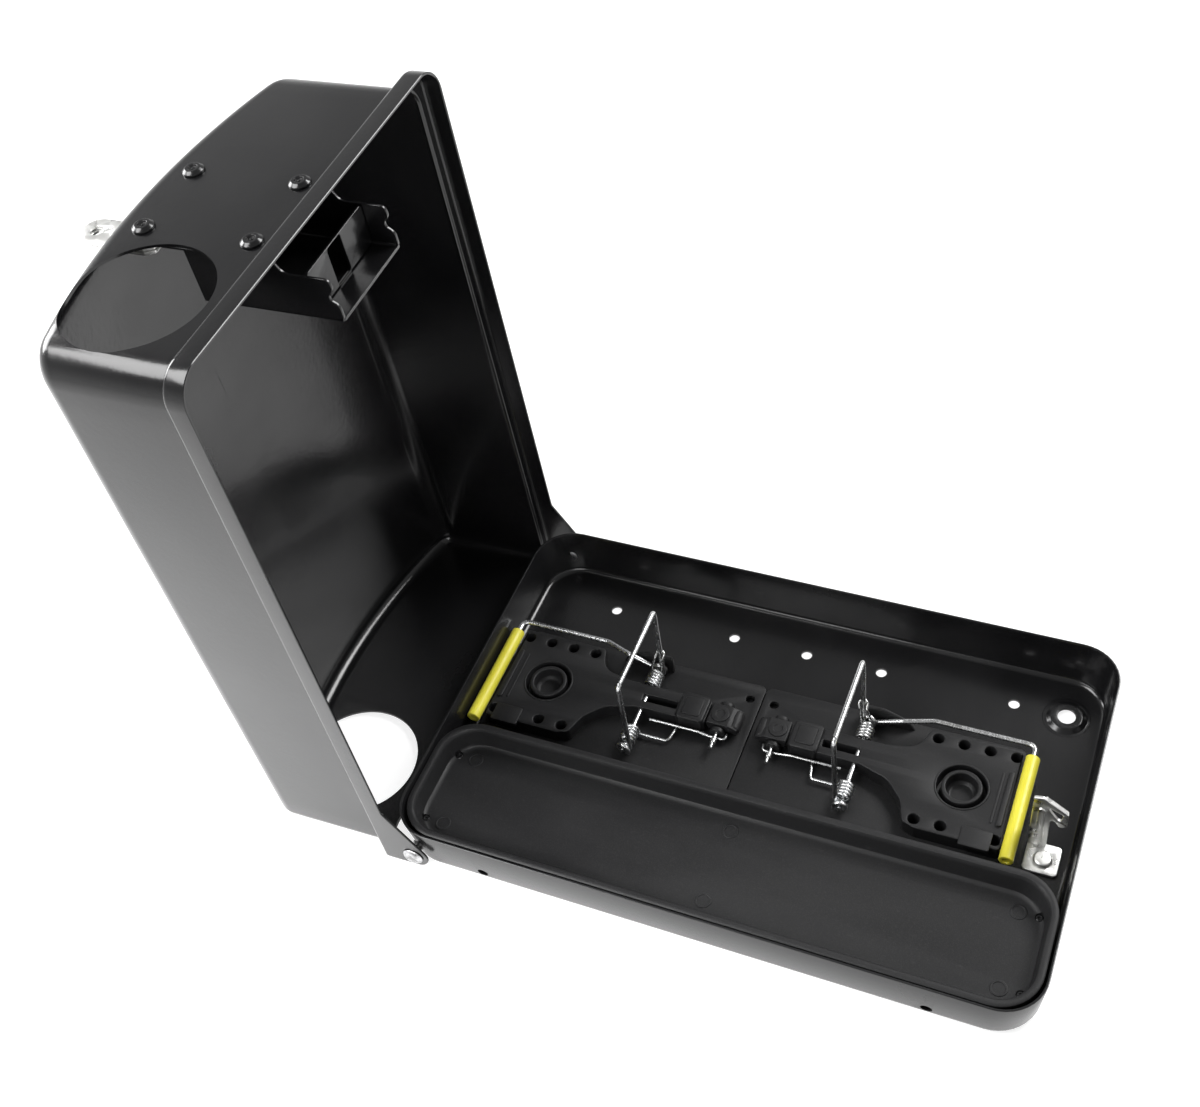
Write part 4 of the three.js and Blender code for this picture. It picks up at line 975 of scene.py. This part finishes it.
def casting():
    deck_outline = rectangle(0.2, TRAP_LENGTH, -DECK_HALF, DECK_HALF, 3)
    deck = plate(deck_outline, DECK_BASE, DECK_TOP, [circle(6.2, 24, 2.2)], 0.35)
    pegs = [circle(TRAP_LENGTH - 3.1 - PEG_SPACING * i, side * PEG_SIDE, PEG_RADIUS, 20)
            for i in range(4) for side in (-1, 1) if (i, side) != (1, -1)]
    slot = rectangle(AXLE_AT - 17, AXLE_AT + 1, NECK - 2.8, NECK + 1.2, 0.6)
    block = plate(casting_plan(), DECK_BASE, BLOCK_TOP, [circle(CUP_AT, 0, 12.2, 48), slot, *pegs], 0.55)
    lip = fillet([(9.9, 4), (12.6, 4), (12.6, BLOCK_TOP + 0.35), (11.6, BLOCK_TOP + 0.35), (11.4, 6)],
                 [0, 0, 0.4, 0.4, 1])
    well = turned(lip + [Vector((9.9, 5.4)), Vector((9.9, 4))], (0, 0, 1), (CUP_AT, 0, 0), 56)
    housing = plate(rectangle(21.5, 36, NECK - 8, NECK + 7.6, 2.2), 4.5, BLOCK_TOP + 1.7, (), 1.0)
    cap = plate(rectangle(24, 33.5, NECK - 5.4, NECK + 5.2, 1.4), BLOCK_TOP + 1, BLOCK_TOP + 2.2, (), 0.45)
    fin_line = fillet([(AXLE_AT - 6, 2), (AXLE_AT + 21, 2), (AXLE_AT + 17, 10), (AXLE_AT + 6, 15),
                       (AXLE_AT - 6, 14.6)], [0, 0, 9, 9, 2], 8)
    fin = upright_plate(fin_line, BLOCK_HALF + 0.8, BLOCK_HALF + 3, (), 0.5)
    rim_line = [(AXLE_AT + 20.6, FIN_MIDDLE, 3), (AXLE_AT + 17, FIN_MIDDLE, 10),
                (AXLE_AT + 6, FIN_MIDDLE, 14.6), (AXLE_AT - 5.4, FIN_MIDDLE, 14.4)]
    fin_rim = tube(fillet(rim_line, 9, 8, closed=False), 0.9, 10)
    tab_outline = rectangle(CUP_AT + 5, CUP_AT + 19, -BLOCK_HALF - 2.6, -BLOCK_HALF + 7.5, 1)
    tab = plate(tab_outline, BLOCK_TOP - 1, BLOCK_TOP + 1, (), 0.35)
    bar_outline = rectangle(TRAP_LENGTH - 4.4, TRAP_LENGTH - 1.8, -16, 14, 1)
    bar = plate(bar_outline, BLOCK_TOP - 1, BLOCK_TOP + 1.2, (), 0.4)
    strip_outline = rectangle(TRAP_LENGTH - 7.4, TRAP_LENGTH - 6.2, -15, 13, 0.5)
    strip = plate(strip_outline, BLOCK_TOP - 1, BLOCK_TOP + 0.35, (), 0.2)
    ears = []
    for side in (-1, 1):
        v = NECK + side * 7.6
        ear = fillet([(PEDAL_AT - 4, 3), (PEDAL_AT + 4, 3), (PEDAL_AT + 3.4, BLOCK_TOP - 0.4),
                      (PEDAL_AT - 3.4, BLOCK_TOP - 0.4)], [0, 0, 3, 3])
        ears.append(upright_plate(ear, v - 1.2, v + 1.2, (), 0.35))
    edge_line = [(56, NECK - 6.6, 4.2), (71, NECK - 11, 4.2), (79.5, NECK - 20, 4.2),
                 (83, 3 - BLOCK_HALF, 4.2)]
    edge = tube(fillet(edge_line, 10, 6, closed=False), 0.5, 8)
    return joined(deck, block, well, housing, cap, fin, fin_rim, tab, bar, strip, edge, *ears)


def cup():
    profile = fillet([(0, 5.6), (5.4, 5.6), (6.9, 7), (7.3, BLOCK_TOP + 0.2), (9.4, BLOCK_TOP + 0.2),
                      (9.5, 7), (9, 4.4), (0, 4.4)], [0, 1.4, 1.6, 0.7, 0.7, 1, 0.5, 0], 6)
    return turned(profile, (0, 0, 1), (CUP_AT, 0, 0), 56)


def axle():
    return tube([(AXLE_AT, v, AXLE_Z) for v in (-27, -26, 26, 27)], 1.2)


def turns(start, end, v0, v1, radius, each=20):
    """Points of a coil round the axle, from one angle to another while v runs between two places."""
    count = max(4, round(abs(end - start) / 360 * each))
    points = []
    for i in range(count + 1):
        a = math.radians(start + (end - start) * i / count)
        v = v0 + (v1 - v0) * i / count
        points.append(Vector((AXLE_AT + radius * math.cos(a), v, AXLE_Z + radius * math.sin(a))))
    return points


def striker():
    """One wire: near eye, bail, far eye and the arm that runs out to the grip."""
    top_u, top_z = AXLE_AT - 2.54, AXLE_Z + 48.4
    eye = 2.6
    near_eye = turns(570, 180, -BAIL_HALF - 2.7, -BAIL_HALF, eye)
    bail = fillet([near_eye[-1], (top_u, -BAIL_HALF, top_z), (top_u, BAIL_HALF, top_z),
                   (AXLE_AT - eye, BAIL_HALF, AXLE_Z)], 2.6, 6, closed=False)
    far_eye = turns(180, 640, BAIL_HALF, BAIL_HALF + 2.7, eye)
    level = BLOCK_TOP + 1
    arm = fillet([far_eye[-1], (AXLE_AT + 16, 26, level + 1), (84, ARM_SIDE, level),
                  (GRIP_AT, ARM_SIDE, level), (GRIP_AT, -24, level)], [0, 5, 7, 3.4, 0], 6, closed=False)
    wire = tube(near_eye[:-1] + bail + far_eye[1:] + arm[1:], WIRE_RADIUS, 14)
    round_axle = turns(-60, 150, BAIL_HALF - 2.5, BAIL_HALF - 2.3, 3.4)
    hook = [round_axle[-1], (top_u - 1.4, BAIL_HALF - 1.9, AXLE_Z + 13),
            (top_u - 2.2, BAIL_HALF, AXLE_Z + 15.6), (top_u, BAIL_HALF + 2, AXLE_Z + 16.4),
            (top_u + 2.1, BAIL_HALF + 0.6, AXLE_Z + 15.2), (top_u + 2.2, BAIL_HALF - 2.4, AXLE_Z + 14),
            (AXLE_AT + 3, BAIL_HALF - 2.6, AXLE_Z + 2)]
    return joined(wire, tube(fillet(hook, 1.4, 4, closed=False), 0.62, 10))


def grip():
    low, high = -32.5, 24
    profile = fillet([(0, low + 0.5), (1.5, low + 0.5), (1.7, low), (3.3, low), (3.3, high), (1.6, high),
                      (1.5, high - 6), (0, high - 6)], [0, 0.2, 0.2, 0.5, 0.5, 0.2, 0, 0])
    return turned(profile, (0, 1, 0), (GRIP_AT, 0, BLOCK_TOP + 1), 36)


def spring(side):
    """Close turns round the axle, with a leg bent over to the neck."""
    outer = side * (BAIL_HALF - WIRE_RADIUS - 1.2)
    inner = outer - side * SPRING_TURNS * SPRING_PITCH
    coil = turns(-90 - SPRING_TURNS * 360 + 140, -90, outer, inner, 3.5)
    neck_side = NECK + side * 8.1
    low = AXLE_Z - 3.5
    leg = fillet([coil[-1], (AXLE_AT - 18, inner, low), (AXLE_AT - 20, neck_side, low + 0.4)],
                 2.2, 6, closed=False)
    return tube(coil[:-1] + leg, 0.75, 10)


def pedal():
    """A cast trigger plate with a rounded outer end and a raised pad."""
    start = PEDAL_AT - 6.5
    outline = fillet([(start - 3, BLOCK_TOP - 4), (PEDAL_AT + 5.5, BLOCK_TOP - 5),
                      (PEDAL_AT + 6.5, BLOCK_TOP + 0.6), (start + 2, BLOCK_TOP + 0.6),
                      (start - 3, BLOCK_TOP - 1.4)], [0.8, 1, 1, 2, 0.8])
    body = upright_plate(outline, NECK - 6, NECK + 6, (), 0.5)
    pad_profile = fillet([(0, BLOCK_TOP + 0.4), (4.6, BLOCK_TOP + 0.4), (4.4, BLOCK_TOP + 1.2),
                          (2.4, BLOCK_TOP + 1.3), (2.1, BLOCK_TOP + 0.9), (0, BLOCK_TOP + 0.9)],
                         [0, 0, 0.3, 0.2, 0.2, 0])
    pad = turned(pad_profile, (0, 0, 1), (PEDAL_AT + 0.6, NECK, 0), 32)
    lobe_profile = fillet([(0, NECK - 5.4), (3.1, NECK - 5.4), (3.4, NECK), (3.1, NECK + 5.4),
                           (0, NECK + 5.4)], [0, 1.2, 3, 1.2, 0])
    lobe = turned(lobe_profile, (0, 1, 0), (start - 0.6, 0, BLOCK_TOP - 3.2), 28)
    return joined(body, pad, lobe)


def pedal_pin():
    far, near = NECK + 8.8, NECK - 18
    z = BLOCK_TOP - 3
    pin = tube([(PEDAL_AT, v, z) for v in (far, far - 1, near + 1, near)], 0.9)
    collar_profile = fillet([(0, near + 6), (1.5, near + 6), (1.5, near + 3), (0, near + 3)],
                            [0, 0.5, 0.5, 0])
    collar = turned(collar_profile, (0, 1, 0), (PEDAL_AT, 0, z), 20)
    return joined(pin, collar)


def trip_rod():
    v, level, under = NECK - 10.2, BLOCK_TOP - 3.6, BLOCK_TOP - 5
    line = [(PEDAL_AT - 4.5, NECK - 6.8, under + 0.3), (PEDAL_AT - 4.5, v, under), (PEDAL_AT + 3.5, v, under),
            (PEDAL_AT + 10, v, level), (AXLE_AT - 5.5, v, level)]
    return tube(fillet(line, 1.5, 5, closed=False), ROD_RADIUS, 10)


TRAP_PIECES = [
    ("body", casting, PLASTIC, "base", "trap_casting"),
    ("cup", cup, PLASTIC, "base", "bait_cup"),
    ("axle", axle, WIRE, "base", "trap_axle"),
    ("striker_wire", striker, WIRE, "striker_body", "striker"),
    ("sleeve", grip, YELLOW, "striker_body", "grip"),
    ("coil_near", lambda: spring(-1), WIRE, "base", "spring_near"),
    ("coil_far", lambda: spring(1), WIRE, "base", "spring_far"),
    ("trigger", pedal, PLASTIC, "pedal_body", "pedal"),
    ("trigger_pin", pedal_pin, WIRE, "base", "pedal_pin"),
    ("rod", trip_rod, WIRE, "pedal_body", "trip_rod"),
]


def on_side(bm, side):
    """Puts a trap piece to the right of the seam, or mirrored to its left."""
    place = Matrix.Translation((SEAM_X, TRAP_Y, 0))
    if side == "right":
        return moved(bm, place)
    bmesh.ops.reverse_faces(bm, faces=bm.faces)
    return moved(bm, place @ Matrix.Scale(-1, 4, (1, 0, 0)))


for side in ("left", "right"):
    for name, make, material, body, node in TRAP_PIECES:
        rides_on = body if body == "base" else f"{side}_{body}"
        piece = on_side(make(), side)
        make_object(f"{side}_trap_{name}", piece, material, rides_on, [f"{side}_{node}"], sharp=38)


# ---- Floor ----

def add_floor():
    mesh = bpy.data.meshes.new("floor")
    mesh.from_pydata([(-30, -30, 0), (30, -30, 0), (30, 30, 0), (-30, 30, 0)], [], [(0, 1, 2, 3)])
    mesh.materials.append(floor_paint())
    floor = bpy.data.objects.new("floor", mesh)
    bpy.context.scene.collection.objects.link(floor)


add_floor()
